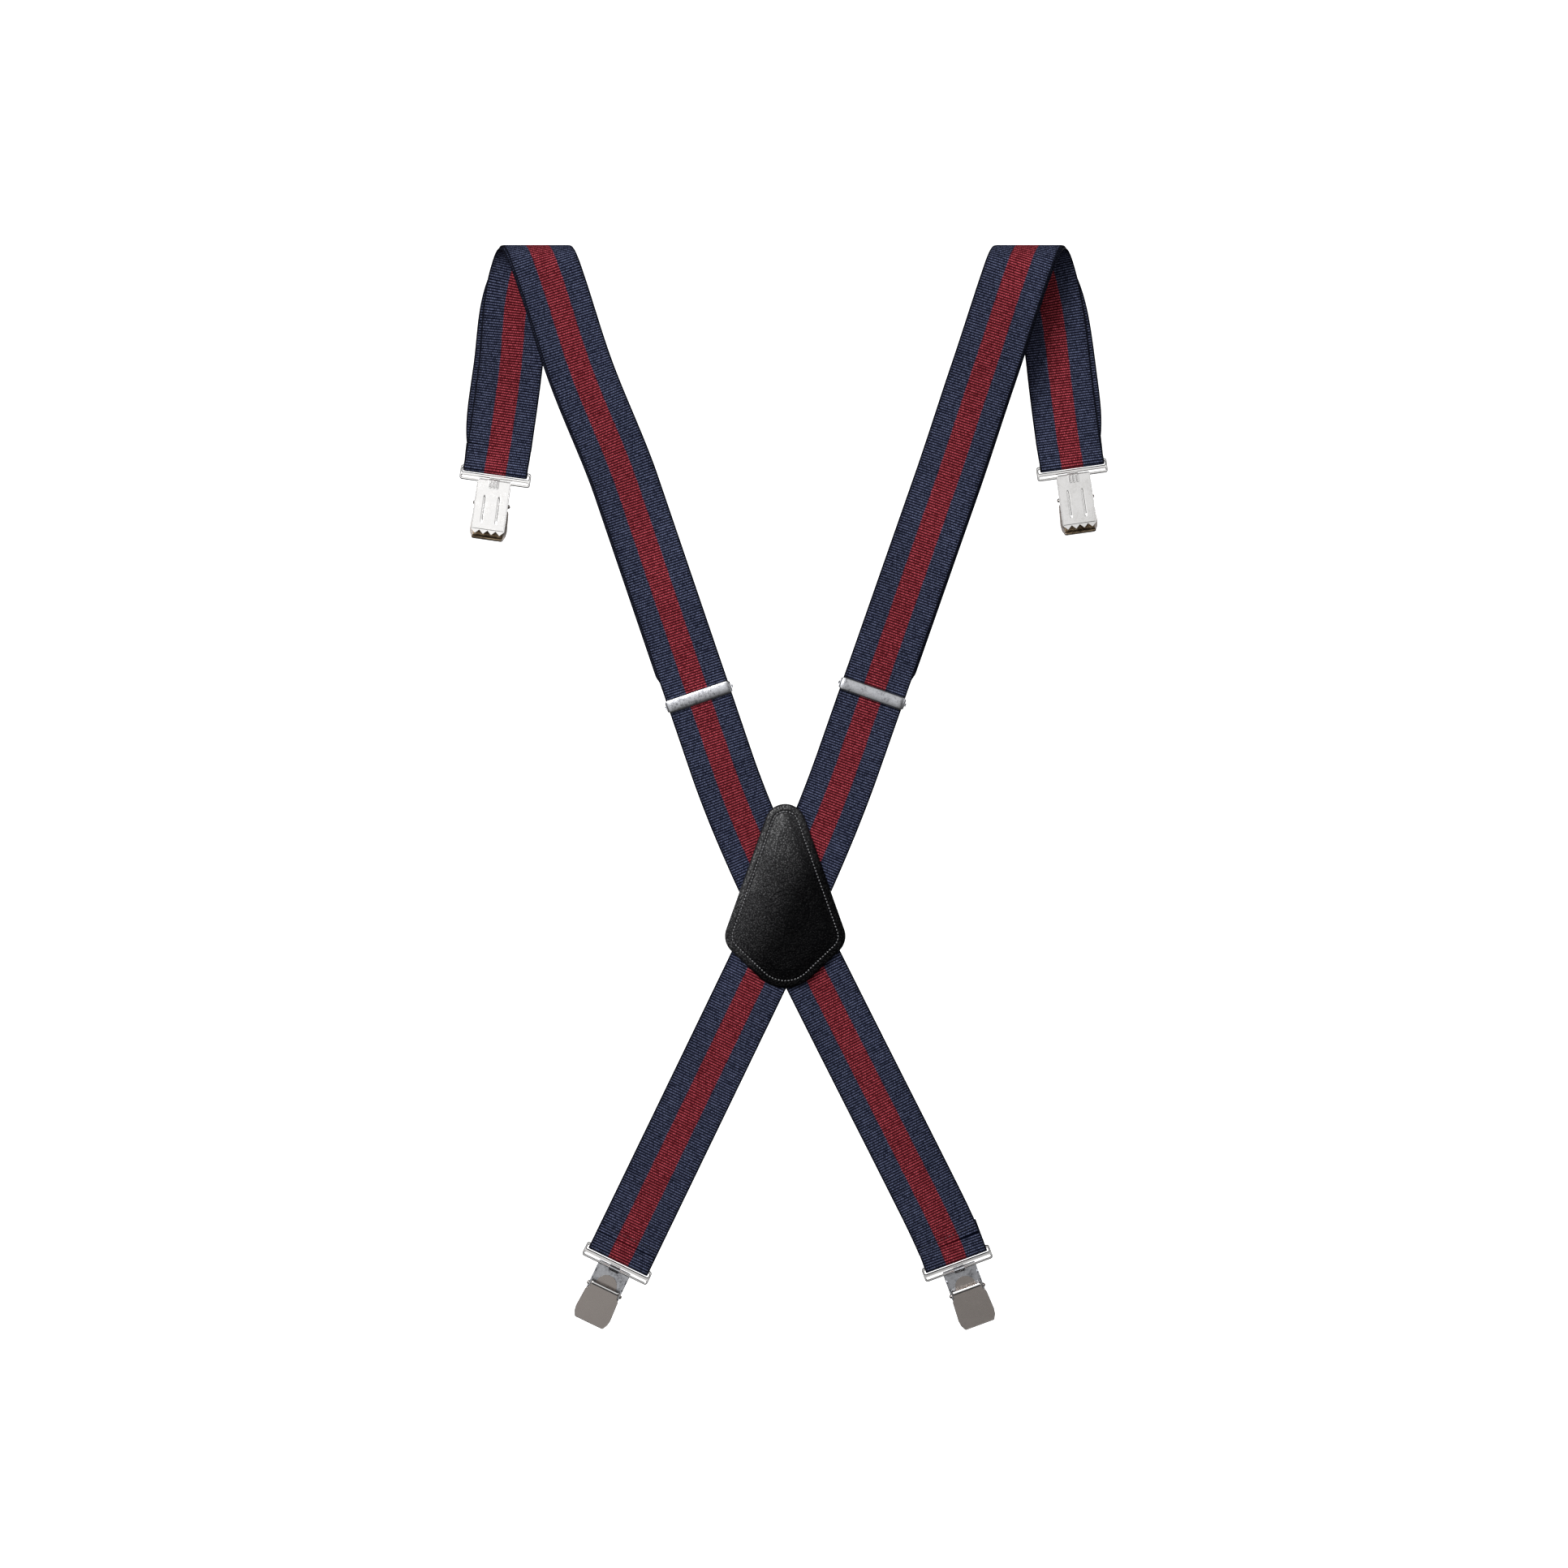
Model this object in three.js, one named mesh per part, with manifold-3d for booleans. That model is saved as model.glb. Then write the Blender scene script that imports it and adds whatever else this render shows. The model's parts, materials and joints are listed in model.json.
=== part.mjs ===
// X-back suspenders with four clips, hanging over a level rail as over two shoulders.
// Millimetres, +Z up, outer face of the front run towards -Y.
// The origin is on the rail's axis, midway between the two shoulder folds.
import * as THREE from 'three';
import { mergeVertices } from 'three/addons/utils/BufferGeometryUtils.js';
import Module from 'manifold-3d';

const wasm = await Module();
wasm.setup();

// ---- driving dimensions ----
const GAP = 0.35; // clearance between pieces that touch on the real object

const WEB_WIDTH = 38;
const WEB_THICK = 1.2;
const LAYER = WEB_THICK + GAP; // from one layer of webbing to the next
const WEB_CELLS = 4; // sections across webbing that goes over the rail
const WEB_STEP = 14; // length of strap between two sections

const OUTER_RADIUS = 15.45; // rail axis to the middle of the outer layer
const INNER_RADIUS = OUTER_RADIUS - LAYER;
const FOLD_LENGTH = Math.PI * OUTER_RADIUS;
const FOLD_STEP = 2.8; // the same where it bends over the rail
const NEAR_FOLD = 14; // a leaning strap's edges start to bend this far before the fold

const PEEK_FRONT = 1.2; // how far the returned layer lies to the outside of the front run
const PEEK_HANG = 3.2; // the same for the outer layer of the hanging end
const PEEK_LOOP = 0.8; // the same where the hanging end turns round its ring

// Each strap's route: [height, sideways place, lean], height running up the front run,
// over the rail (0 to FOLD_LENGTH) and on down the hanging end. Hang is the height of the rail's
// axis above the upper bar of the front ring.
const SIDES = {
  left: {
    out: -1,
    depth: -LAYER, // this strap passes behind the other one under the patch
    adjusterHeight: -249,
    hang: 114.8,
    route: [
      [-575.6, 99.7, -0.37], [-540, 83.6, -0.5], [-429, 27.6, -0.5], [-287, -36.6, -0.34],
      [-127, -91, -0.34], [-61, -117.3, -0.37], [0, -137.4, -0.36],
      [FOLD_LENGTH, -153.6, -0.28], [FOLD_LENGTH + 55, -160.9, -0.13],
      [FOLD_LENGTH + 114.8, -169.8, -0.14],
    ],
  },
  right: {
    out: 1,
    depth: 0,
    adjusterHeight: -247,
    hang: 111,
    route: [
      [-575.6, -95.7, 0.483], [-429, -24.8, 0.483], [-287, 37.4, 0.35],
      [-127, 93.4, 0.35], [-61, 115.4, 0.34], [0, 135.6, 0.35],
      [FOLD_LENGTH, 152, 0.28], [FOLD_LENGTH + 55, 161.6, 0.12],
      [FOLD_LENGTH + 111, 169.4, 0.14],
    ],
  },
};
const CROSSING_TOP = -287; // below this height the straps may lie over each other
const CROSSING_EASE = 18; // length over which the rear strap drops back

const RING_WIDTH = 42;
const RING_BAR = 1.8; // height of the upper bar, which the webbing turns round
const RING_RAIL = 2; // height of the middle bar, which shows below the webbing
const RING_WIRE = 1.4; // height of the lower bar, which carries the clip
const RING_SIDE = 1.2;
const RING_DEPTH = 1.5;
const RING_ROUNDING = 0.5; // makes the bars' edges look like rolled wire
const RAIL_DROP = 4.1; // upper bar to middle bar
const RING_PITCH = 7; // upper bar to lower bar
const LOOP_RADIUS = 2.15; // middle of the webbing round the ring's upper bar
const LOOP_EASE = 9; // height over which the two layers close up
const SEWN_TAIL = 17; // height of the sewn webbing end above the bar
const LOOP_LEG = 14; // height of the front loop's two legs

const COVER_LENGTH = 40;
const COVER_HEIGHT = 8.3;
const COVER_THICK = 0.7;
const COVER_CORNER = 2.2;
const EAR_HEIGHT = 5.4;
const EAR_TIP = 2.1; // radius of the ear's end, behind the bar
const BAR_RADIUS = 0.95;
const BAR_BITE = 0.22; // depth of the bar's teeth
const BAR_SHOW = 0.8; // how far the bar stands out of each ear
const BAR_TEETH = 12;
const TAIL_RADIUS = 1.85; // middle of the webbing round the adjuster's bar
const BAR_SETBACK = LAYER + TAIL_RADIUS;
const TAIL_HEIGHT = 14;

const PATCH_THICK = 2;
const LINING_THICK = 1.2;
const PATCH_BEVEL = 0.45;
const PATCH_CORNERS = [ // [x, z, corner radius]
  [0, -287.5, 12], [-37, -391.4, 12], [0, -426.7, 22], [37, -391.4, 12],
];
const PATCH_SHIFT = 0.7; // the patch's middle line lies this far to the right

const PLATE_WIDTH = 19.4;
const PLATE_TOP = 0.9;
const PLATE_BOTTOM = -28.9;
const PLATE_THICK = 0.8;
const PLATE_INNER = 1.5; // inner face of the back plate behind the ring's lower bar
const TOOTH_COUNT = 4;
const TOOTH_HEIGHT = 2.3;
const TAB_WIDTH = 6.2;
const TAB_OUTER = 1.75;
const TAB_INNER = 1.15;
const FLUTE = { places: [-2, 0, 2], width: 1, rise: 0.45, top: 0.5, bottom: -3.9 };
const GROOVE = { places: [-4.3, 4.3], width: 1.2, depth: 0.25, top: -8, bottom: -25 };
const CLIP_EAR = 0.55;
const PIN = { y: -1.3, z: -13.2, radius: 0.75, length: 19.4 };
const PIN_HOLE = 1.08;
const EAR_OUTLINE = [ // [y, z] from the plate's inner face round the hinge and back
  [-1.4, -4.6], [-2.2, -5.4], [-2.2, -9], [-2.85, -9.8], [-2.85, -14.6], [-2.4, -16.1],
  [-1, -16.8], [0.4, -20],
];
const EAR_TOP = -4;
const EAR_BOTTOM = -27;
const BARREL_OUTER = 1.72;
const BARREL_LENGTH = 16.6;
const BRIDGE_HALF = 0.7; // half the height of the web between the jaw cover and its barrel
const JAW_THICK = 0.8;
const JAW_OUTER = -4; // outer face of the jaw cover
const JAW_TOP = -11.4;
const JAW_OUTLINE = [ // half of the cover: [half width, distance below its top edge]
  [8.8, 0], [8.8, 3.4], [10.3, 5.2], [10.9, 16.5], [10.4, 19.6], [8.9, 22.4],
];
const LIP_WIDTH = 17.8;
const LIP_RADIUS = 2.6;
const LIP_REACH = 3.6;
const LEAF_THICK = 0.4;
const LEAF_RADIUS = 6.2;
const LEAF_MIDDLE = -11;
const LEAF_BOTTOM = -27.6;

// ---- materials ----
const NAVY = { color: 0x23283f, roughness: 0.9, metalness: 0 };
const LEATHER = { color: 0x17171a, roughness: 0.5, metalness: 0 };
const SATIN_STEEL = { color: 0xb4b2ae, roughness: 0.38, metalness: 1 };
const BRIGHT_STEEL = { color: 0xd9d8d5, roughness: 0.22, metalness: 1 };
const BROWN_STEEL = { color: 0x5a4634, roughness: 0.55, metalness: 0.9 };

// ---- building helpers ----
function piece(name, geometry, look) {
  const mesh = new THREE.Mesh(geometry, new THREE.MeshStandardMaterial(look));
  mesh.name = name;
  return mesh;
}

function solid(geometry) {
  const bare = geometry.clone();
  bare.deleteAttribute('normal');
  bare.deleteAttribute('uv');
  const merged = mergeVertices(bare, 1e-4);
  return new wasm.Manifold(new wasm.Mesh({
    numProp: 3,
    vertProperties: new Float32Array(merged.attributes.position.array),
    triVerts: new Uint32Array(merged.index.array),
  }));
}

function joinAndCut(added, removed) {
  let body = solid(added[0]);
  added.slice(1).forEach((geometry) => { body = body.add(solid(geometry)); });
  removed.forEach((geometry) => { body = body.subtract(solid(geometry)); });
  const mesh = body.getMesh();
  const geometry = new THREE.BufferGeometry();
  geometry.setAttribute('position', new THREE.BufferAttribute(mesh.vertProperties, 3));
  geometry.setIndex(new THREE.BufferAttribute(mesh.triVerts, 1));
  geometry.computeVertexNormals();
  return geometry;
}

function box(x0, x1, y0, y1, z0, z1) {
  const geometry = new THREE.BoxGeometry(x1 - x0, y1 - y0, z1 - z0);
  return geometry.translate((x0 + x1) / 2, (y0 + y1) / 2, (z0 + z1) / 2);
}

// A shape drawn in X and Z, made into a plate from y0 to y1.
function plate(shape, y0, y1, bevel = 0, segments = 8) {
  const geometry = new THREE.ExtrudeGeometry(shape, {
    depth: y1 - y0 - 2 * bevel,
    bevelEnabled: bevel > 0,
    bevelThickness: bevel,
    bevelSize: bevel,
    bevelOffset: -bevel,
    bevelSegments: 1,
    curveSegments: segments,
  });
  return geometry.rotateX(Math.PI / 2).translate(0, y1 - bevel, 0);
}

// A shape drawn in Y and Z, made into a bar from x0 to x1.
function barAcross(shape, x0, x1, segments = 8) {
  const geometry = new THREE.ExtrudeGeometry(shape, {
    depth: x1 - x0, bevelEnabled: false, curveSegments: segments,
  });
  return geometry.rotateZ(Math.PI / 2).rotateY(Math.PI / 2).translate(x0, 0, 0);
}

function disc(y, z, radius, hole = 0) {
  const shape = new THREE.Shape();
  shape.absarc(y, z, radius, 0, 2 * Math.PI);
  if (hole > 0) {
    const inner = new THREE.Path();
    inner.absarc(y, z, hole, 0, 2 * Math.PI);
    shape.holes.push(inner);
  }
  return shape;
}

// A closed outline through [x, y, radius] corners, each rounded by an arc.
function roundedShape(corners) {
  const shape = new THREE.Shape();
  corners.forEach(([x, y, radius], i) => {
    const corner = new THREE.Vector2(x, y);
    const before = corners[(i + corners.length - 1) % corners.length];
    const after = corners[(i + 1) % corners.length];
    const back = new THREE.Vector2(before[0] - x, before[1] - y).normalize();
    const ahead = new THREE.Vector2(after[0] - x, after[1] - y).normalize();
    const half = Math.acos(back.dot(ahead)) / 2;
    const middle = back.clone().add(ahead).normalize();
    const centre = corner.clone().addScaledVector(middle, radius / Math.sin(half));
    const first = corner.clone().addScaledVector(back, radius / Math.tan(half)).sub(centre);
    const last = corner.clone().addScaledVector(ahead, radius / Math.tan(half)).sub(centre);
    const clockwise = first.cross(last) < 0;
    shape.absarc(centre.x, centre.y, radius, first.angle(), last.angle(), clockwise);
  });
  return shape;
}

function rectangle(width, bottom, top, radius) {
  const x = width / 2;
  return roundedShape([[-x, bottom, radius], [x, bottom, radius], [x, top, radius], [-x, top, radius]]);
}

// Webbing along a list of stations: a long box, bent to follow them. A station is a function
// from a place across the webbing and a place through its thickness to a point.
function ribbon(stations, cells = 1) {
  const last = stations.length - 1;
  const geometry = new THREE.BoxGeometry(WEB_WIDTH, WEB_THICK, last, cells, 1, last);
  const position = geometry.attributes.position;
  const corner = new THREE.Vector3();
  for (let i = 0; i < position.count; i += 1) {
    corner.fromBufferAttribute(position, i);
    const place = stations[Math.round(corner.z + last / 2)](corner.x, corner.y);
    position.setXYZ(i, place.x, place.y, place.z);
  }
  geometry.computeVertexNormals();
  return geometry;
}

// ---- the straps' routes ----
function ease(t) {
  const clamped = THREE.MathUtils.clamp(t, 0, 1);
  return clamped * clamped * (3 - 2 * clamped);
}

// Sideways place and lean at a height, by a cubic between the route's two knots.
function sideways(route, height) {
  const last = route.length - 2;
  const found = route.findIndex((knot, i) => i === last || height <= route[i + 1][0]);
  const [v0, x0, lean0] = route[found];
  const [v1, x1, lean1] = route[found + 1];
  const span = v1 - v0;
  const t = (height - v0) / span;
  const h = (2 * t - 3) * t * t;
  return (1 + h) * x0 - h * x1 + span * t * (t - 1) * ((t - 1) * lean0 + t * lean1);
}

// A point of the unrolled webbing, wrapped over the rail at a radius from its axis.
function wrap(x, height, radius) {
  const angle = THREE.MathUtils.clamp(height / OUTER_RADIUS, 0, Math.PI);
  const below = Math.min(height, 0) - Math.max(height - FOLD_LENGTH, 0);
  return new THREE.Vector3(x, -radius * Math.cos(angle), radius * Math.sin(angle) + below);
}

// Heights from one to another, closer together where the webbing bends over the rail.
function heightsBetween(from, to) {
  const marks = [from, -NEAR_FOLD, FOLD_LENGTH + NEAR_FOLD, to].filter((v) => v >= from && v <= to);
  const heights = [from];
  for (let i = 1; i < marks.length; i += 1) {
    const nearFold = marks[i] > -NEAR_FOLD && marks[i - 1] < FOLD_LENGTH + NEAR_FOLD;
    const steps = Math.ceil((marks[i] - marks[i - 1]) / (nearFold ? FOLD_STEP : WEB_STEP));
    for (let n = 1; n <= steps; n += 1) {
      heights.push(THREE.MathUtils.lerp(marks[i - 1], marks[i], n / steps));
    }
  }
  return heights;
}

// Webbing on the route between two heights. Peek moves it to the outer side along its length.
function stretch(side, from, to, radius, peek = () => 0) {
  return heightsBetween(from, to).map((height) => {
    const x = sideways(side.route, height) + side.out * peek((height - from) / (to - from));
    const lean = leanAt(side, height);
    const drop = side.depth * ease((CROSSING_TOP - height) / CROSSING_EASE);
    return (across, through) => wrap(
      x - across * Math.cos(lean), height + across * Math.sin(lean), radius + drop + through,
    );
  });
}

// The webbing's turn round a bar at the origin, in Y and Z: down one leg and up the other.
function turn(leg0, leg1, spread, closed0, closed1, height) {
  const places = [];
  const legSteps = 4;
  for (let i = 0; i <= legSteps; i += 1) {
    const z = height * (1 - i / legSteps);
    places.push([-THREE.MathUtils.lerp(spread, closed0, ease(z / height)), z]);
  }
  for (let i = 1; i < 8; i += 1) {
    const angle = Math.PI * (1 + i / 8);
    places.push([spread * Math.cos(angle), spread * Math.sin(angle)]);
  }
  for (let i = 0; i <= legSteps; i += 1) {
    const z = height * i / legSteps;
    places.push([THREE.MathUtils.lerp(spread, closed1, ease(z / height)), z]);
  }
  if (leg0 > height) places.unshift([-closed0, leg0]);
  if (leg1 > height) places.push([closed1, leg1]);
  return places;
}

// Stations from Y and Z places in a frame, from the last place back to the first. Through the
// thickness is away from the bar. Skew is how far the first place lies to one side of the last.
function turnStations(places, frame, skew = 0) {
  return places.map(([y, z], i) => {
    const aside = skew * (1 - i / (places.length - 1));
    const before = places[Math.max(i - 1, 0)];
    const after = places[Math.min(i + 1, places.length - 1)];
    const away = new THREE.Vector2(after[1] - before[1], before[0] - after[0]).normalize();
    return (across, through) => {
      const point = new THREE.Vector3(aside - across, y + away.x * through, z + away.y * through);
      return point.applyMatrix4(frame.matrix);
    };
  }).reverse();
}

function leanAt(side, height) {
  return Math.atan(sideways(side.route, height + 0.5) - sideways(side.route, height - 0.5));
}

// A frame on a strap: origin at the route, local Z up the webbing, local -Y out of its outer face.
function frameOn(side, height, y) {
  const frame = new THREE.Group();
  const hanging = height > FOLD_LENGTH;
  const lean = leanAt(side, height);
  frame.position.set(sideways(side.route, height), y, hanging ? FOLD_LENGTH - height : height);
  frame.rotation.set(0, hanging ? -lean : lean, hanging ? Math.PI : 0, 'YXZ');
  frame.updateMatrix();
  return frame;
}

// ---- the clip ----
function ring() {
  const opening = RING_WIDTH - 2 * RING_SIDE;
  const railTop = -RAIL_DROP + RING_RAIL / 2;
  const railBottom = -RAIL_DROP - RING_RAIL / 2;
  const shape = rectangle(RING_WIDTH, -RING_PITCH - RING_WIRE / 2, RING_BAR / 2, 1.6);
  shape.holes.push(rectangle(opening, railTop, -RING_BAR / 2, 0.5));
  shape.holes.push(rectangle(opening, -RING_PITCH + RING_WIRE / 2, railBottom, 0.5));
  return plate(shape, -RING_DEPTH / 2, RING_DEPTH / 2, RING_ROUNDING, 2);
}

function toothedOutline() {
  const x = PLATE_WIDTH / 2;
  const pitch = PLATE_WIDTH / TOOTH_COUNT;
  const shape = new THREE.Shape();
  shape.moveTo(x, PLATE_TOP);
  shape.lineTo(-x, PLATE_TOP);
  shape.lineTo(-x, PLATE_BOTTOM);
  for (let i = 0; i < TOOTH_COUNT; i += 1) {
    const left = -x + i * pitch;
    shape.lineTo(left + pitch / 2, PLATE_BOTTOM - TOOTH_HEIGHT);
    shape.lineTo(left + pitch, PLATE_BOTTOM);
  }
  return shape;
}

function earOutline() {
  const root = PLATE_INNER + PLATE_THICK / 2;
  const shape = new THREE.Shape();
  shape.moveTo(root, EAR_TOP);
  EAR_OUTLINE.forEach(([y, z]) => shape.lineTo(y, z));
  shape.lineTo(root, EAR_BOTTOM);
  const hole = new THREE.Path();
  hole.absarc(PIN.y, PIN.z, PIN_HOLE, 0, 2 * Math.PI);
  shape.holes.push(hole);
  return shape;
}

// Upright strips side by side on the plate, from y0 to y1.
function upright(strips, y0, y1) {
  const half = strips.width / 2;
  return strips.places.map((x) => box(x - half, x + half, y0, y1, strips.bottom, strips.top));
}

function backPlate() {
  const outer = PLATE_INNER + PLATE_THICK;
  const x = PLATE_WIDTH / 2;
  const ears = [-x, x - CLIP_EAR].map((x0) => barAcross(earOutline(), x0, x0 + CLIP_EAR, 4));
  const tab = barAcross(disc(0, 0, TAB_OUTER, TAB_INNER), -TAB_WIDTH / 2, TAB_WIDTH / 2, 8);
  const flutes = upright(FLUTE, PLATE_INNER + PLATE_THICK / 2, outer + FLUTE.rise);
  const grooves = upright(GROOVE, outer - GROOVE.depth, outer + 1);
  const face = plate(toothedOutline(), PLATE_INNER, outer);
  return joinAndCut([face, tab, ...ears, ...flutes], grooves);
}

function jawCoverOutline() {
  const shape = new THREE.Shape();
  const right = JAW_OUTLINE.map(([x, drop]) => [x, JAW_TOP - drop]);
  const left = right.map(([x, z]) => [-x, z]).reverse();
  [...right, ...left].forEach(([x, z], i) => (i ? shape.lineTo(x, z) : shape.moveTo(x, z)));
  return shape;
}

// The curled lip: from the cover's lower edge round and in below the teeth.
function lipOutline() {
  const bottom = JAW_TOP - JAW_OUTLINE.at(-1)[1];
  const centre = [JAW_OUTER + LIP_RADIUS, bottom + LIP_RADIUS];
  const shape = new THREE.Shape();
  shape.absarc(centre[0], centre[1], LIP_RADIUS, Math.PI, 1.5 * Math.PI);
  shape.lineTo(JAW_OUTER + LIP_RADIUS + LIP_REACH, centre[1] - LIP_RADIUS);
  shape.lineTo(JAW_OUTER + LIP_RADIUS + LIP_REACH, centre[1] - LIP_RADIUS + JAW_THICK);
  shape.absarc(centre[0], centre[1], LIP_RADIUS - JAW_THICK, 1.5 * Math.PI, Math.PI, true);
  return shape;
}

function jaw() {
  const cover = plate(jawCoverOutline(), JAW_OUTER, JAW_OUTER + JAW_THICK);
  const half = BARREL_LENGTH / 2;
  const barrel = barAcross(disc(PIN.y, PIN.z, BARREL_OUTER, PIN_HOLE), -half, half, 8);
  const bridgeEnd = PIN.y - PIN_HOLE - 0.1;
  const bridgeStart = JAW_OUTER + JAW_THICK / 2;
  const bridge = box(-half, half, bridgeStart, bridgeEnd, PIN.z - BRIDGE_HALF, PIN.z + BRIDGE_HALF);
  const lip = barAcross(lipOutline(), -LIP_WIDTH / 2, LIP_WIDTH / 2, 4);
  return joinAndCut([cover, barrel, bridge, lip], []);
}

function hingePin() {
  const geometry = new THREE.CylinderGeometry(PIN.radius, PIN.radius, PIN.length, 16);
  return geometry.rotateZ(Math.PI / 2).translate(0, PIN.y, PIN.z);
}

function springLeaf() {
  const shape = new THREE.Shape();
  shape.moveTo(-LEAF_RADIUS, LEAF_BOTTOM);
  shape.lineTo(LEAF_RADIUS, LEAF_BOTTOM);
  shape.absarc(0, LEAF_MIDDLE, LEAF_RADIUS, 0, Math.PI);
  return plate(shape, PLATE_INNER - GAP - LEAF_THICK, PLATE_INNER - GAP, 0, 8);
}

function addClip(frame, name) {
  frame.add(piece(`${name}_ring`, ring(), BRIGHT_STEEL));
  const clip = new THREE.Group();
  clip.position.z = -RING_PITCH;
  clip.add(piece(`${name}_back_plate`, backPlate(), BRIGHT_STEEL));
  clip.add(piece(`${name}_jaw`, jaw(), SATIN_STEEL));
  clip.add(piece(`${name}_hinge_pin`, hingePin(), SATIN_STEEL));
  clip.add(piece(`${name}_spring_leaf`, springLeaf(), SATIN_STEEL));
  frame.add(clip);
}

// ---- the adjuster ----
function adjusterCover() {
  const front = -WEB_THICK / 2 - GAP;
  const outline = rectangle(COVER_LENGTH, -COVER_HEIGHT / 2, COVER_HEIGHT / 2, COVER_CORNER);
  const face = plate(outline, front - COVER_THICK, front, 0, 3);
  const earShape = new THREE.Shape();
  earShape.moveTo(front - COVER_THICK / 2, -EAR_HEIGHT / 2);
  earShape.lineTo(BAR_SETBACK + 0.5, -EAR_HEIGHT / 2);
  earShape.absarc(BAR_SETBACK, 0, EAR_TIP, -Math.PI / 2, Math.PI / 2);
  earShape.lineTo(front - COVER_THICK / 2, EAR_HEIGHT / 2);
  const ears = [-COVER_LENGTH / 2, COVER_LENGTH / 2 - COVER_THICK].map(
    (x0) => barAcross(earShape, x0, x0 + COVER_THICK, 4),
  );
  const bore = barAcross(disc(BAR_SETBACK, 0, BAR_RADIUS + GAP), -COVER_LENGTH, COVER_LENGTH, 4);
  return joinAndCut([face, ...ears], [bore]);
}

function serratedBar() {
  const shape = new THREE.Shape();
  for (let i = 0; i < 2 * BAR_TEETH; i += 1) {
    const radius = i % 2 ? BAR_RADIUS : BAR_RADIUS - BAR_BITE;
    const angle = i * Math.PI / BAR_TEETH;
    const y = BAR_SETBACK + radius * Math.cos(angle);
    const z = radius * Math.sin(angle);
    if (i) shape.lineTo(y, z);
    else shape.moveTo(y, z);
  }
  return barAcross(shape, -COVER_LENGTH / 2 - BAR_SHOW, COVER_LENGTH / 2 + BAR_SHOW);
}

function tailLoop(frame) {
  const places = turn(TAIL_HEIGHT, TAIL_HEIGHT - 2, TAIL_RADIUS, TAIL_RADIUS, LAYER - TAIL_RADIUS, 9);
  const setBack = places.map(([y, z]) => [y + BAR_SETBACK, z]);
  return ribbon(turnStations(setBack, frame));
}

// ---- one side: strap, adjuster, hanging end and its two clips ----
function addSide(parent, key, side, backName) {
  const backEnd = side.route[0][0];
  const lean = leanAt(side, side.adjusterHeight);
  const adjusterTop = side.adjusterHeight + (TAIL_HEIGHT + GAP) * Math.cos(lean);
  const hangEnd = FOLD_LENGTH + side.hang;
  const closed = LAYER / 2;

  const backFrame = frameOn(side, backEnd, -OUTER_RADIUS - side.depth + closed);
  const sewnTurn = turn(LOOP_EASE, SEWN_TAIL, LOOP_RADIUS, closed, closed, LOOP_EASE);
  const strap = [
    ...turnStations(sewnTurn, backFrame),
    ...stretch(side, backEnd + 1.6 * LOOP_EASE, -GAP / 2, OUTER_RADIUS),
  ];
  parent.add(piece(`strap_${key}`, ribbon(strap, WEB_CELLS), NAVY));

  const foldEnd = FOLD_LENGTH - GAP / 2;
  const outerFold = stretch(side, GAP / 2, foldEnd, OUTER_RADIUS);
  const innerFold = stretch(side, GAP / 2, foldEnd, INNER_RADIUS, () => PEEK_FRONT);
  parent.add(piece(`fold_outer_${key}`, ribbon(outerFold, WEB_CELLS), NAVY));
  parent.add(piece(`fold_inner_${key}`, ribbon(innerFold, WEB_CELLS), NAVY));

  const returned = stretch(side, adjusterTop, -GAP / 2, INNER_RADIUS, () => PEEK_FRONT);
  parent.add(piece(`return_strap_${key}`, ribbon(returned, WEB_CELLS), NAVY));

  const hangFrom = FOLD_LENGTH + GAP / 2;
  const hangTo = hangEnd - LOOP_LEG - 3 * GAP;
  const bulge = (t) => PEEK_LOOP * t + PEEK_HANG * (1 - (2 * t - 1) ** 4);
  const fade = (t) => PEEK_FRONT * (1 - t);
  const hangOuter = stretch(side, hangFrom, hangTo, OUTER_RADIUS, bulge);
  const hangInner = stretch(side, hangFrom, hangTo, INNER_RADIUS, fade);
  parent.add(piece(`hang_outer_${key}`, ribbon(hangOuter, WEB_CELLS), NAVY));
  parent.add(piece(`hang_inner_${key}`, ribbon(hangInner, WEB_CELLS), NAVY));

  const hangMiddle = (OUTER_RADIUS + INNER_RADIUS) / 2;
  const frontFrame = frameOn(side, hangEnd, hangMiddle);
  const frontTurn = turn(LOOP_LEG, LOOP_LEG, LOOP_RADIUS, closed, closed, LOOP_EASE);
  const frontLoop = turnStations(frontTurn, frontFrame, -side.out * PEEK_LOOP);
  parent.add(piece(`front_loop_${key}`, ribbon(frontLoop), NAVY));

  const adjuster = frameOn(side, side.adjusterHeight, -OUTER_RADIUS);
  parent.add(piece(`tail_loop_${key}`, tailLoop(adjuster), NAVY));
  adjuster.add(piece(`adjuster_cover_${key}`, adjusterCover(), SATIN_STEEL));
  adjuster.add(piece(`adjuster_bar_${key}`, serratedBar(), BROWN_STEEL));

  addClip(frontFrame, `front_${key}`);
  addClip(backFrame, `back_${backName}`);
  parent.add(adjuster, frontFrame, backFrame);
}

function addPatch(parent) {
  const outline = roundedShape(PATCH_CORNERS);
  const front = -OUTER_RADIUS - WEB_THICK / 2 - GAP;
  const back = -INNER_RADIUS + WEB_THICK / 2 + GAP;
  const face = plate(outline, front - PATCH_THICK, front, PATCH_BEVEL, 8).translate(PATCH_SHIFT, 0, 0);
  const lining = plate(outline, back, back + LINING_THICK, 0, 8).translate(PATCH_SHIFT, 0, 0);
  parent.add(piece('patch_front', face, LEATHER));
  parent.add(piece('patch_lining', lining, LEATHER));
}

const suspenders = new THREE.Group();
addSide(suspenders, 'left', SIDES.left, 'right');
addSide(suspenders, 'right', SIDES.right, 'left');
addPatch(suspenders);

export default suspenders;
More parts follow.
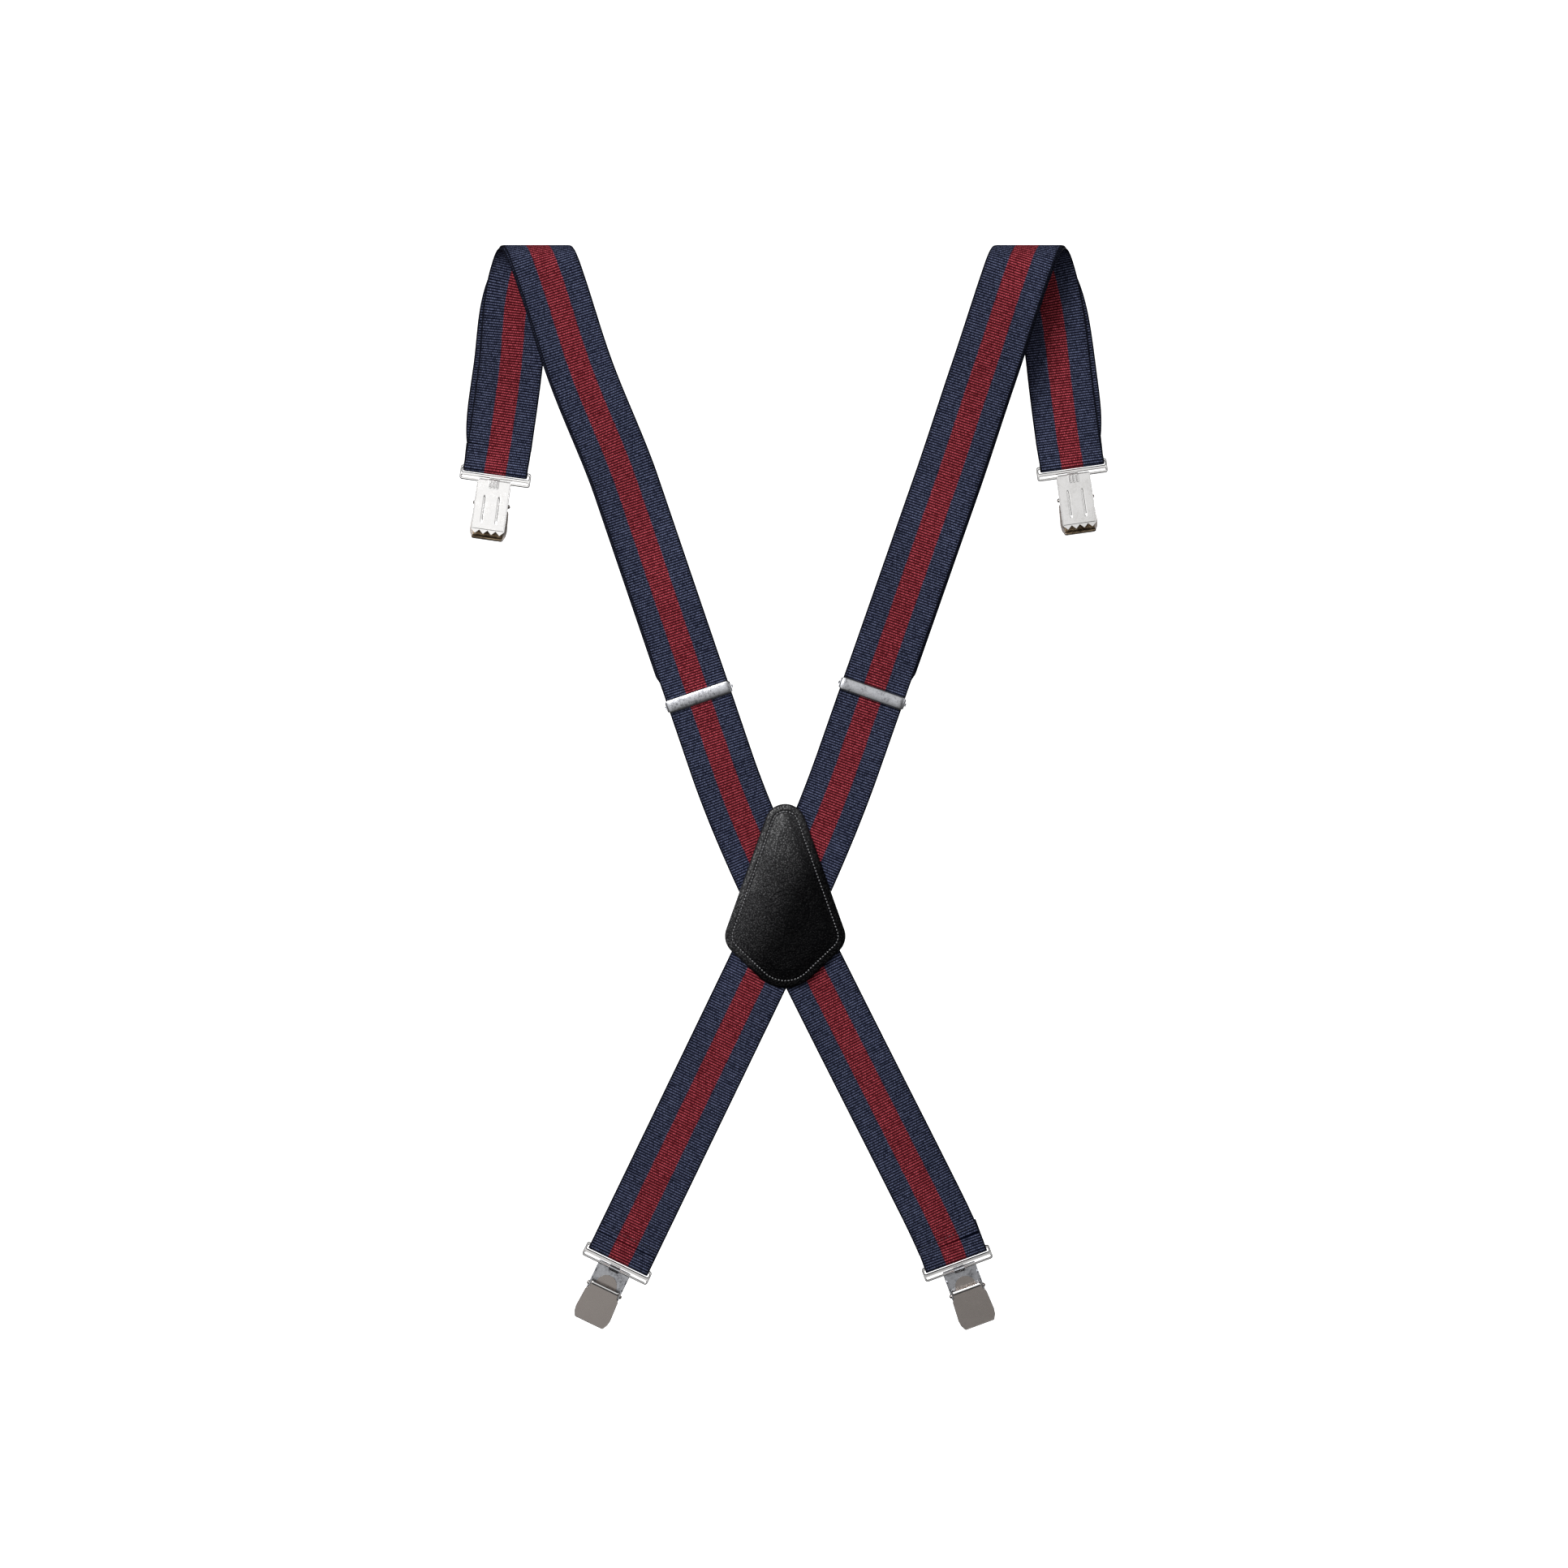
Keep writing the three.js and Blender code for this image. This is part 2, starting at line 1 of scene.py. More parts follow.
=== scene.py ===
# Suspenders hanging over a level rail: striped ribbed webbing, leather patch, adjusters and clips.
import bmesh
import bpy
import json
import math
import numpy as np
from mathutils import Matrix, Vector


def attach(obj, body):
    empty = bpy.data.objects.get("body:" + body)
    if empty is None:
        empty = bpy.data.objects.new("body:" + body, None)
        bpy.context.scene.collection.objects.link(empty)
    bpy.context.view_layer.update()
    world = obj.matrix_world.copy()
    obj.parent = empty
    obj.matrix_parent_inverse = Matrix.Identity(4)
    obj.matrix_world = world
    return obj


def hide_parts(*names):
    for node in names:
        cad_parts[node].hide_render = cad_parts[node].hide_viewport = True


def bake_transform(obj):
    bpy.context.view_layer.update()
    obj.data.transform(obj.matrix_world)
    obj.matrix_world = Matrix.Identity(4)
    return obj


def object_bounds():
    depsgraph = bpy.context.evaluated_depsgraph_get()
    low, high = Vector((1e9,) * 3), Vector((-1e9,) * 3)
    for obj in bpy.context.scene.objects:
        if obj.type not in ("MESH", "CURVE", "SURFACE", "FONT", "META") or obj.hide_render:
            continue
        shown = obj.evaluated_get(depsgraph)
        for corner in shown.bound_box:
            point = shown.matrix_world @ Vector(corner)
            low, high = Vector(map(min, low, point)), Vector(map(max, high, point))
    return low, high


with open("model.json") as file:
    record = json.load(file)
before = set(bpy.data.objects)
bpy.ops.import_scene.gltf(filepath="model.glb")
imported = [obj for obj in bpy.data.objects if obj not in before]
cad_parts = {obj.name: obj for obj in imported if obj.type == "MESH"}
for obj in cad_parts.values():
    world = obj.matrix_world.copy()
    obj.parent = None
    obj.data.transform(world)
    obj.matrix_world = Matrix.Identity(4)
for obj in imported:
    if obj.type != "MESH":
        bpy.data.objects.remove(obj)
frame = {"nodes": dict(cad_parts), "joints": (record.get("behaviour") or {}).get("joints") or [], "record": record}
CAD_LOW, CAD_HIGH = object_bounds()
MM = 0.001
JOINTS = {j["name"]: j for j in frame["joints"]}

# ---- webbing, in millimetres, as the CAD has it ----
WEB_WIDTH = 38
WEB_THICK = 1.2
GAP = 0.35
LAYER = WEB_THICK + GAP  # from one layer of webbing to the next
OUTER_RADIUS = 15.45  # rail axis to the middle of the outer layer
INNER_RADIUS = OUTER_RADIUS - LAYER
FOLD_LENGTH = math.pi * OUTER_RADIUS
PEEK_FRONT = 1.2  # how far the returned layer lies to the outside of the front run
PEEK_HANG = 3.2  # the same for the outer layer of the hanging end
PEEK_LOOP = 0.8  # the same where the hanging end turns round its ring
CROSSING_TOP = -287  # below this height the straps may lie over each other
CROSSING_EASE = 18
LOOP_RADIUS = 2.15
LOOP_EASE = 9
LOOP_LEG = 14
SEWN_TAIL = 17
TAIL_RADIUS = 1.85
TAIL_HEIGHT = 14
TAIL_EASE = 9
BAR_SETBACK = LAYER + TAIL_RADIUS
# Each route is height up the front run, over the rail and down the hanging end, sideways place, lean.
SIDES = {
    "left": {
        "out": -1, "depth": -LAYER, "adjuster": -249, "hang": 114.8,
        "route": [
            (-575.6, 99.7, -0.37), (-540, 83.6, -0.5), (-429, 27.6, -0.5), (-287, -36.6, -0.34),
            (-127, -91, -0.34), (-61, -117.3, -0.37), (0, -137.4, -0.36),
            (FOLD_LENGTH, -153.6, -0.28), (FOLD_LENGTH + 55, -160.9, -0.13),
            (FOLD_LENGTH + 114.8, -169.8, -0.14),
        ],
    },
    "right": {
        "out": 1, "depth": 0, "adjuster": -247, "hang": 111,
        "route": [
            (-575.6, -95.7, 0.483), (-429, -24.8, 0.483), (-287, 37.4, 0.35),
            (-127, 93.4, 0.35), (-61, 115.4, 0.34), (0, 135.6, 0.35),
            (FOLD_LENGTH, 152, 0.28), (FOLD_LENGTH + 55, 161.6, 0.12),
            (FOLD_LENGTH + 111, 169.4, 0.14),
        ],
    },
}

# ---- the look of the webbing ----
RIB_PITCH = 1.5
RIB_DEPTH = 0.24
RIB_PROFILE = (0.0, 0.72, 1.0, 0.72)  # height of the rib at equal steps along it
THREAD_PITCH = 1.3
ACROSS = (-19, -18.85, -18.3, -17.6, -13, -6.3, 0, 6.3, 13, 17.6, 18.3, 18.85, 19)
EDGE_THICK = (0.3, 0.75, 0.95, 1, 1, 1, 1, 1, 1, 1, 0.95, 0.75, 0.3)
SELVEDGE = 18  # beyond this distance from the middle the ribs fade out
STRIPE_HALF = 6.35
SEAM_HEIGHT = 13  # sewn seam above the back ends
SEAM_DENT = 0.34
SEAM_HALF = 0.7
SEAM_PITCH = 2.4
TAIL_SEAM = 4
SEAM_THREAD, PATCH_THREAD, LINING_THREAD = 0.2, 0.34, 0.25  # radius of each thread
BEND_REACH = 26  # the shoulder piece's webbing below the rail

# ---- the leather patch: corners as X, Z and radius ----
PATCH_CORNERS = [(0, -287.5, 12), (-37, -391.4, 12), (0, -426.7, 22), (37, -391.4, 12)]
PATCH_SHIFT = 0.7
PATCH_MIDDLE = -362
PATCH_THICK = 2.0
PATCH_EDGE = 1.5
PATCH_FRONT = -OUTER_RADIUS - WEB_THICK / 2 - GAP  # where the leather lies on the webbing
CHANNEL_INSET = 4.3
CHANNEL_HALF = 0.6
CHANNEL_DEPTH = 0.5
PILLOW, PILLOW_REACH = 0.7, 9  # the padding's rise inside the channel, and the distance it takes
DOME, DOME_REACH = 2.4, 12
DOME_HALF_WIDTH, DOME_HALF_HEIGHT = 36, 70
STITCH_PITCH = 1.9
RING_MARK = (2.5, -374, 12.5)  # a plain pressed ring: X, Z and radius
RING_MARK_DEPTH = 0.32
RING_MARK_LINES = ((0, 0.33), (-2.4, 0.26))  # its two grooves: place from the radius, and half width
LINING_BACK = -INNER_RADIUS + WEB_THICK / 2 + GAP
LINING_CHANNEL = 5.4  # how far in the lining's stitched channel ends
LINING_FLOOR = 1.0  # height of the channel's bottom
LINING_PROFILE = [  # distance in from the edge, and height
    (0, 0.0), (0, 0.75), (0.12, 1.0), (0.35, 1.16), (0.7, 1.2),
    (3.2, 1.2), (3.9, LINING_FLOOR), (4.7, LINING_FLOOR),
    (LINING_CHANNEL, 1.2), (9, 1.35), (14, 1.5),
]

# ---- metal parts ----
COVER_LENGTH = 40
COVER_HEIGHT = 8.3
COVER_THICK = 0.7
COVER_BEND = 1.3
COVER_CROWN = 0.45
COVER_TAPER, COVER_CORNER = 1.4, 2.2  # how much lower the plate is at its ends, and over what length
EAR_RADIUS = 2.4
PIN_Y, PIN_Z, PIN_LENGTH = -1.3, -13.2, 19.4
RIVET_RADIUS = 1.25
JAW_OUTER = -4
JAW_TOP = -11.4
JAW_THICK = 0.8
# half width and drop below the jaw's top
JAW_OUTLINE = [(8.8, 0), (8.8, 3.4), (10.3, 5.2), (10.9, 16.5), (10.4, 19.6), (8.9, 22.4)]
JAW_DROP = JAW_OUTLINE[-1][1]
PLATE_WIDTH, PLATE_TOP, PLATE_BOTTOM = 19.4, 0.9, -28.9
PLATE_INNER, PLATE_THICK = 1.5, 0.8
GROOVE_PLACES, GROOVE_TOP, GROOVE_BOTTOM = (-4.3, 4.3), -8, -25
GROOVE_HALF, GROOVE_DEPTH = 0.42, 0.3
FLUTE_PLACES, FLUTE_BOTTOM = (-2, 0, 2), -3.9
FLUTE_HALF, FLUTE_RISE = 0.5, 0.55
HEM_RADIUS = 0.42  # the sheet metal's edges, rounded by tumbling
HEM_INSET = 0.25  # keeps the jaw's rounded edge clear of the ears beside it
LIP_WIDTH, LIP_RADIUS, LIP_REACH = 17.8, 2.6, 3.6
GRIP_SKIN = 0.1

# ---- studio, in metres ----
FRONT_RUN = 0.016  # outer face of the front run, in front of the rail's axis
VIEW_HEIGHT = -0.2997
VIEW_WIDTH = 0.912
LENS, SENSOR = 85, 36
BRIGHT_TOWARDS = (-0.27, -0.93, 0.25)
BRIGHT_REACH = 38  # degrees from the middle of the bright area to where it has faded
BRIGHT, DARK = 1.05, 0.045
SIDE_FADE = (0.78, 0.92)  # how far sideways a direction points where the side light starts and is full
SIDE_BRIGHT = 0.3
LIGHTS = {  # place, size and power
    "key": ((-0.95, -2.1, 0.75), (1.0, 1.0), 36),
    "fill": ((1.6, -1.8, 0.1), (1.4, 1.6), 7),
    "back_key": ((0.95, 1.6, 0.5), (1.0, 1.0), 20),
    "back_fill": ((-1.5, 1.4, -0.1), (1.0, 1.2), 8),
}


# ---- small helpers ----
def make_object(name, mesh):
    obj = bpy.data.objects.new(name, mesh)
    bpy.context.scene.collection.objects.link(obj)
    return obj


def make_mesh(name, points, faces):
    mesh = bpy.data.meshes.new(name)
    mesh.from_pydata([tuple(p) for p in points], [], faces)
    mesh.update()
    mesh.polygons.foreach_set("use_smooth", [True] * len(mesh.polygons))
    return mesh


def turn_outwards(obj):
    work = bmesh.new()
    work.from_mesh(obj.data)
    bmesh.ops.recalc_face_normals(work, faces=work.faces)
    work.to_mesh(obj.data)
    work.free()


def ring_faces(rings, count, first=0):
    """Faces between neighbouring rings of points, and across both ends."""
    faces = []
    for i in range(rings - 1):
        for k in range(count):
            a = first + i * count + k
            b = first + i * count + (k + 1) % count
            faces.append((a, b, b + count, a + count))
    faces.append(tuple(first + k for k in reversed(range(count))))
    last = first + (rings - 1) * count
    faces.append(tuple(last + k for k in range(count)))
    return faces


def ease(t):
    t = np.clip(t, 0, 1)
    return t * t * (3 - 2 * t)


def lengths(points):
    """Length along a line of points, at each of them."""
    steps = np.linalg.norm(np.diff(points, axis=0), axis=1)
    return np.concatenate([[0], np.cumsum(steps)])


# ---- the straps' routes ----
def sideways(route, height):
    """Sideways place at each height, by a cubic between the route's knots."""
    knots = np.array(route)
    found = np.clip(np.searchsorted(knots[:, 0], height) - 1, 0, len(knots) - 2)
    v0, x0, lean0 = knots[found].T
    v1, x1, lean1 = knots[found + 1].T
    span = v1 - v0
    t = (height - v0) / span
    h = (2 * t - 3) * t * t
    return (1 + h) * x0 - h * x1 + span * t * (t - 1) * ((t - 1) * lean0 + t * lean1)


def lean_at(route, height):
    return np.arctan(sideways(route, height + 0.5) - sideways(route, height - 0.5))


def place_on(side, height):
    """Sideways place and lean of a strap at one height."""
    at = np.array([float(height)])
    return float(sideways(side["route"], at)[0]), float(lean_at(side["route"], at)[0])


def wrap(x, height, radius):
    """Points of the unrolled webbing, wrapped over the rail at a radius from its axis."""
    angle = np.clip(height / OUTER_RADIUS, 0, math.pi)
    below = np.minimum(height, 0) - np.maximum(height - FOLD_LENGTH, 0)
    return np.stack([x, -radius * np.cos(angle), radius * np.sin(angle) + below], axis=-1)


def route_rows(side, start, end, radius, peek=None):
    """Rows of webbing on the route: a function from places across and through it to points, and
    the length at each row. Peek moves it to the outer side by its height."""

    def places(height):
        middle = sideways(side["route"], height)
        return middle if peek is None else middle + side["out"] * peek(height)

    height = np.linspace(start, end, 4000)
    along = lengths(wrap(places(height), height, np.full(len(height), float(radius))))
    height = np.interp(np.linspace(0, along[-1], steps_for(along[-1])), along, height)
    x = places(height)
    lean = lean_at(side["route"], height)
    drop = side["depth"] * ease((CROSSING_TOP - height) / CROSSING_EASE)

    def point(across, through):
        return wrap(
            x[:, None] - across[None, :] * np.cos(lean)[:, None],
            height[:, None] + across[None, :] * np.sin(lean)[:, None],
            (radius + drop)[:, None] + through,
        )

    return point, np.linspace(0, along[-1], len(height))


def steps_for(length):
    return int(round(length / RIB_PITCH * len(RIB_PROFILE))) + 1


def turn_places(leg0, leg1, spread, closed0, closed1, height):
    """The webbing's turn round a bar at the origin, in Y and Z: down one leg and up the other."""
    t = np.linspace(0, 1, 24)
    down = np.stack([-(spread + (closed0 - spread) * ease(1 - t)), height * (1 - t)], 1)
    angle = math.pi * (1 + t[1:-1])
    round_bar = np.stack([spread * np.cos(angle), spread * np.sin(angle)], 1)
    up = np.stack([spread + (closed1 - spread) * ease(t), height * t], 1)
    places = [down, round_bar, up]
    if leg0 > height:
        places.insert(0, np.array([[-closed0, leg0]]))
    if leg1 > height:
        places.append(np.array([[closed1, leg1]]))
    return np.concatenate(places)


def even(places, step):
    """The same line at equal steps of about this length."""
    s = lengths(places)
    n = max(2, int(round(s[-1] / step)) + 1)
    at = np.linspace(0, s[-1], n)
    return np.stack([np.interp(at, s, places[:, k]) for k in range(places.shape[1])], 1)


def turn_rows(places, matrix, skew=0.0):
    """Rows of webbing on a turn, from its last place back to the first, which lies skew aside."""
    yz = even(places, RIB_PITCH / len(RIB_PROFILE))
    aside = np.linspace(0, skew, len(yz))[:, None]
    ahead = np.gradient(yz, axis=0)
    away = np.stack([ahead[:, 1], -ahead[:, 0]], 1)
    away /= np.linalg.norm(away, axis=1)[:, None]
    yz, away = yz[::-1], away[::-1]
    m = np.array(matrix)

    def place(across, through):
        y = yz[:, None, 0] + away[:, None, 0] * through
        z = yz[:, None, 1] + away[:, None, 1] * through
        x = aside - across[None, :] + 0 * y
        local = np.stack([x, y, z], -1)
        return local @ m[:3, :3].T + m[:3, 3]

    return place, lengths(yz)


def frame_on(side, height, y):
    """A frame on a strap: local Z up the webbing, local -Y out of its outer face."""
    hanging = height > FOLD_LENGTH
    x, lean = place_on(side, height)
    z = FOLD_LENGTH - height if hanging else height
    turn = Matrix.Rotation(-lean if hanging else lean, 4, "Y")
    flip = Matrix.Rotation(math.pi if hanging else 0, 4, "Z")
    return Matrix.Translation((x, y, z)) @ turn @ flip


def strap_point(side, height, radius):
    x, _ = place_on(side, height)
    return Vector(wrap(x, float(height), radius).tolist()) * MM


# ---- the webbing's mesh ----
def web_mesh(name, sections, start, dents):
    """A ribbed band through sections of (point, lengths). Start is its length so far, for the weave,
    and a dent is a length and a depth where a seam pulls the webbing thin."""
    origin = start
    across = np.array(ACROSS, float)
    edge = np.array(EDGE_THICK)
    ribbed = np.where(np.abs(across) < SELVEDGE, 1.0, 0.25)
    profile = RIB_PROFILE + RIB_PROFILE[:1]
    loops, uvs = [], []
    for point, along in sections:
        s = start + along
        phase = (s / RIB_PITCH) % 1
        rib = np.interp(phase * len(RIB_PROFILE), range(len(profile)), profile)
        half = WEB_THICK / 2
        for at, depth in dents:
            half = half - depth * np.exp(-(((s - origin - at) / SEAM_HALF) ** 2))
        groove = RIB_DEPTH * (1 - rib[:, None] * ribbed[None, :] - (1 - ribbed[None, :]) * 0.5)
        thick = (np.reshape(half, (-1, 1)) - groove) * edge[None, :]
        top = point(across, thick)
        bottom = point(across, -thick)
        loops.append(np.concatenate([top, bottom[:, ::-1]], axis=1))
        u = np.concatenate([across, across[::-1]]) / WEB_WIDTH + 0.5
        uvs.append(np.stack(np.broadcast_arrays(u[None, :], s[:, None] / WEB_WIDTH), -1))
        start = s[-1]
    points = np.concatenate(loops) * MM
    uv = np.concatenate(uvs)
    mesh = make_mesh(name, points.reshape(-1, 3).tolist(), ring_faces(*points.shape[:2]))
    layer = mesh.uv_layers.new(name="weave")
    vertex = np.zeros(len(mesh.loops), np.int32)
    mesh.loops.foreach_get("vertex_index", vertex)
    layer.data.foreach_set("uv", uv.reshape(-1, 2)[vertex].astype(np.float32).ravel())
    return mesh


def add_webbing(name, sections, start=0.0, dents=()):
    obj = make_object(name, web_mesh(name, sections, start, dents))
    obj.data.materials.append(MATERIALS["webbing"])
    return obj


# ---- node materials ----
class Nodes:
    """A short way to write a node tree."""

    def __init__(self, owner):
        owner.use_nodes = True
        self.tree = owner.node_tree

    def add(self, kind, **settings):
        node = self.tree.nodes.new(kind)
        for key, value in settings.items():
            setattr(node, key, value)
        return node

    def put(self, value, socket):
        if isinstance(value, bpy.types.NodeSocket):
            self.tree.links.new(value, socket)
        else:
            socket.default_value = value

    def math(self, operation, *values, clamp=False):
        node = self.add("ShaderNodeMath", operation=operation, use_clamp=clamp)
        for value, socket in zip(values, node.inputs):
            self.put(value, socket)
        return node.outputs[0]

    def mix(self, amount, a, b):
        node = self.add("ShaderNodeMix", data_type="RGBA")
        self.put(amount, node.inputs[0])
        self.put(a, node.inputs[6])
        self.put(b, node.inputs[7])
        return node.outputs[2]

    def span(self, value, low, high, to_low=0.0, to_high=1.0, smooth=False):
        node = self.add("ShaderNodeMapRange", interpolation_type="SMOOTHSTEP" if smooth else "LINEAR")
        for socket, given in zip(node.inputs, (value, low, high, to_low, to_high)):
            self.put(given, socket)
        return node.outputs[0]

    def combine(self, x, y, z=0.0):
        node = self.add("ShaderNodeCombineXYZ")
        for value, socket in zip((x, y, z), node.inputs):
            self.put(value, socket)
        return node.outputs[0]

    def noise(self, vector, scale, detail=2.0, roughness=0.5):
        node = self.add("ShaderNodeTexNoise")
        self.put(vector, node.inputs["Vector"])
        node.inputs["Scale"].default_value = scale
        node.inputs["Detail"].default_value = detail
        node.inputs["Roughness"].default_value = roughness
        return node.outputs[0]

    def voronoi(self, vector, scale):
        node = self.add("ShaderNodeTexVoronoi", feature="F1")
        self.put(vector, node.inputs["Vector"])
        node.inputs["Scale"].default_value = scale
        return node.outputs[0]

    def bump(self, height, distance, strength):
        node = self.add("ShaderNodeBump")
        node.inputs["Strength"].default_value = strength
        node.inputs["Distance"].default_value = distance
        self.put(height, node.inputs["Height"])
        return node.outputs[0]

    def object_place(self):
        return self.add("ShaderNodeTexCoord").outputs["Object"]

    def split(self, vector):
        node = self.add("ShaderNodeSeparateXYZ")
        self.put(vector, node.inputs[0])
        return node.outputs


class Surface(Nodes):
    """A material of one Principled shader."""

    def __init__(self, name):
        self.material = bpy.data.materials.new(name)
        super().__init__(self.material)
        self.shader = self.tree.nodes["Principled BSDF"]

    def give(self, **values):
        for key, value in values.items():
            self.put(value, self.shader.inputs[key.replace("_", " ")])


def webbing_material():
    n = Surface("striped_webbing")
    u, v, _ = n.split(n.add("ShaderNodeUVMap", uv_map="weave").outputs[0])
    across = n.math("MULTIPLY", n.math("SUBTRACT", u, 0.5), WEB_WIDTH)
    along = n.math("MULTIPLY", v, WEB_WIDTH)
    off_middle = n.math("ABSOLUTE", across)
    turns = n.math("DIVIDE", along, RIB_PITCH)
    rib_number = n.math("FLOOR", turns)
    phase = n.math("FRACT", turns)
    # 0 in the groove, 1 on top of the rib
    top = n.math("SINE", n.math("MULTIPLY", phase, math.pi))
    crown = n.math("POWER", top, 3.0)
    # the warp threads that cross each rib, out of step from one rib to the next
    half_step = n.math("MULTIPLY", rib_number, 0.5)
    thread = n.math("FRACT", n.math("ADD", n.math("DIVIDE", across, THREAD_PITCH), half_step))
    thread_top = n.math("SINE", n.math("MULTIPLY", thread, math.pi))
    on_rib = n.combine(n.math("MULTIPLY", across, 0.9), n.math("MULTIPLY", rib_number, 7.3))
    highlight_dash = n.span(n.noise(on_rib, 1.0, 1.5), 0.34, 0.64, 0.3, 1.0)
    highlight_dash = n.math("MULTIPLY", highlight_dash, n.span(thread_top, 0, 1, 0.4, 1.0))
    # painted highlight: the rib crowns are lightened in dashes broken by the warp threads
    light = n.math("MULTIPLY", crown, highlight_dash, clamp=True)
    # the stripe, with edges that step by a thread from rib to rib
    wander = n.noise(n.combine(0.0, n.math("MULTIPLY", rib_number, 3.1), 4.0), 1.0, 0)
    shifted = n.math("ADD", off_middle, n.math("MULTIPLY", n.math("SUBTRACT", wander, 0.5), 0.7))
    stripe = n.span(shifted, STRIPE_HALF - 0.25, STRIPE_HALF + 0.35, 1.0, 0.0, smooth=True)
    # each stripe colour runs from a near-black groove, painted shade, to a light crown, painted highlight
    navy_and_painted_rib_light = n.mix(light, (0.0015, 0.0024, 0.0085, 1), (0.185, 0.212, 0.355, 1))
    red_and_painted_rib_light = n.mix(light, (0.040, 0.0010, 0.0030, 1), (0.80, 0.125, 0.165, 1))
    cloth_and_painted_light = n.mix(stripe, navy_and_painted_rib_light, red_and_painted_rib_light)
    # the woven edge: a row of dots where the last ribs turn back, and near-black colour along the edges, painted
    # as shade
    edge = n.span(off_middle, SELVEDGE - 0.3, SELVEDGE + 0.3, 0.0, 1.0, smooth=True)
    dots_start = n.span(off_middle, SELVEDGE - 1.3, SELVEDGE - 1.0, 0.0, 1.0)
    dots_end = n.span(off_middle, SELVEDGE - 0.7, SELVEDGE - 0.4, 1.0, 0.0)
    dots = n.math("MULTIPLY", dots_start, dots_end)
    dots = n.math("MULTIPLY", dots, n.math("SUBTRACT", 1.0, crown))
    cloth_and_painted_light = n.mix(dots, cloth_and_painted_light, (0.002, 0.002, 0.004, 1))
    # painted shade along the webbing's edges
    cloth_and_painted_light = n.mix(n.math("MULTIPLY", edge, 0.92), cloth_and_painted_light, (0.005, 0.0055, 0.010, 1))
    slow = n.noise(n.object_place(), 22.0, 3.0)
    shade = n.add("ShaderNodeHueSaturation")
    n.put(n.span(slow, 0.3, 0.7, 0.9, 1.1), shade.inputs["Value"])
    n.put(cloth_and_painted_light, shade.inputs["Color"])
    height = n.math("ADD", n.math("MULTIPLY", crown, 0.5), n.math("MULTIPLY", thread_top, 0.35))
    n.give(
        Base_Color=shade.outputs[0],
        Roughness=n.span(light, 0, 1, 0.92, 0.7),
        Normal=n.bump(height, 0.00012, 0.8),
    )
    n.shader.inputs["Specular IOR Level"].default_value = 0.03
    return n.material


def leather_material():
    n = Surface("pebbled_leather")
    place = n.object_place()
    warped = n.add("ShaderNodeVectorMath", operation="ADD")
    n.put(place, warped.inputs[0])
    wander = n.add("ShaderNodeTexNoise")
    n.put(place, wander.inputs["Vector"])
    wander.inputs["Scale"].default_value = 700.0
    shift = n.add("ShaderNodeVectorMath", operation="SCALE")
    n.put(wander.outputs["Color"], shift.inputs[0])
    shift.inputs["Scale"].default_value = 0.0007
    n.put(shift.outputs[0], warped.inputs[1])
    cells = n.voronoi(warped.outputs[0], 1050.0)
    fine = n.noise(place, 3200.0, 3.0)
    broad = n.noise(place, 38.0, 3.0)
    smooth = n.span(n.noise(place, 26.0, 1.0), 0.42, 0.62, 1.0, 0.35, smooth=True)
    grain = n.math("ADD", n.math("MULTIPLY", cells, 0.9), n.math("MULTIPLY", fine, 0.3))
    pebble = n.math("MULTIPLY", grain, smooth)
    # painted sheen: towards -X and the top, the raised pebbles get a lighter colour and more specular, as where
    # the key light's highlight falls; opposite they are near black and dull
    x, _, z = n.split(place)
    upwards = n.math("MULTIPLY", n.math("ADD", z, -PATCH_MIDDLE * MM), 0.5)
    towards = n.math("SUBTRACT", upwards, n.math("MULTIPLY", x, 0.9))
    sheen_band_place = n.math("ADD", towards, n.math("MULTIPLY", broad, 0.012))
    painted_sheen_band = n.span(sheen_band_place, -0.008, 0.028, smooth=True)
    raised = n.span(cells, 0.15, 0.5, 1.0, 0.25)
    painted_sheen = n.math("MULTIPLY", raised, painted_sheen_band)
    # painted highlight: the raised pebbles are lightened inside the sheen band
    tone_and_painted_sheen = n.mix(painted_sheen, (0.0016, 0.0016, 0.0020, 1), (0.050, 0.050, 0.055, 1))
    n.give(
        Base_Color=tone_and_painted_sheen,
        Roughness=n.math("ADD", n.span(broad, 0.3, 0.7, 0.26, 0.36), n.math("MULTIPLY", fine, 0.06)),
        Normal=n.bump(pebble, 0.00055, 0.9),
        # painted sheen: specular is raised on the pebbles inside the band
        Specular_IOR_Level=n.math("MULTIPLY", raised, n.span(painted_sheen_band, 0.0, 1.0, 0.16, 1.0)),
    )
    return n.material


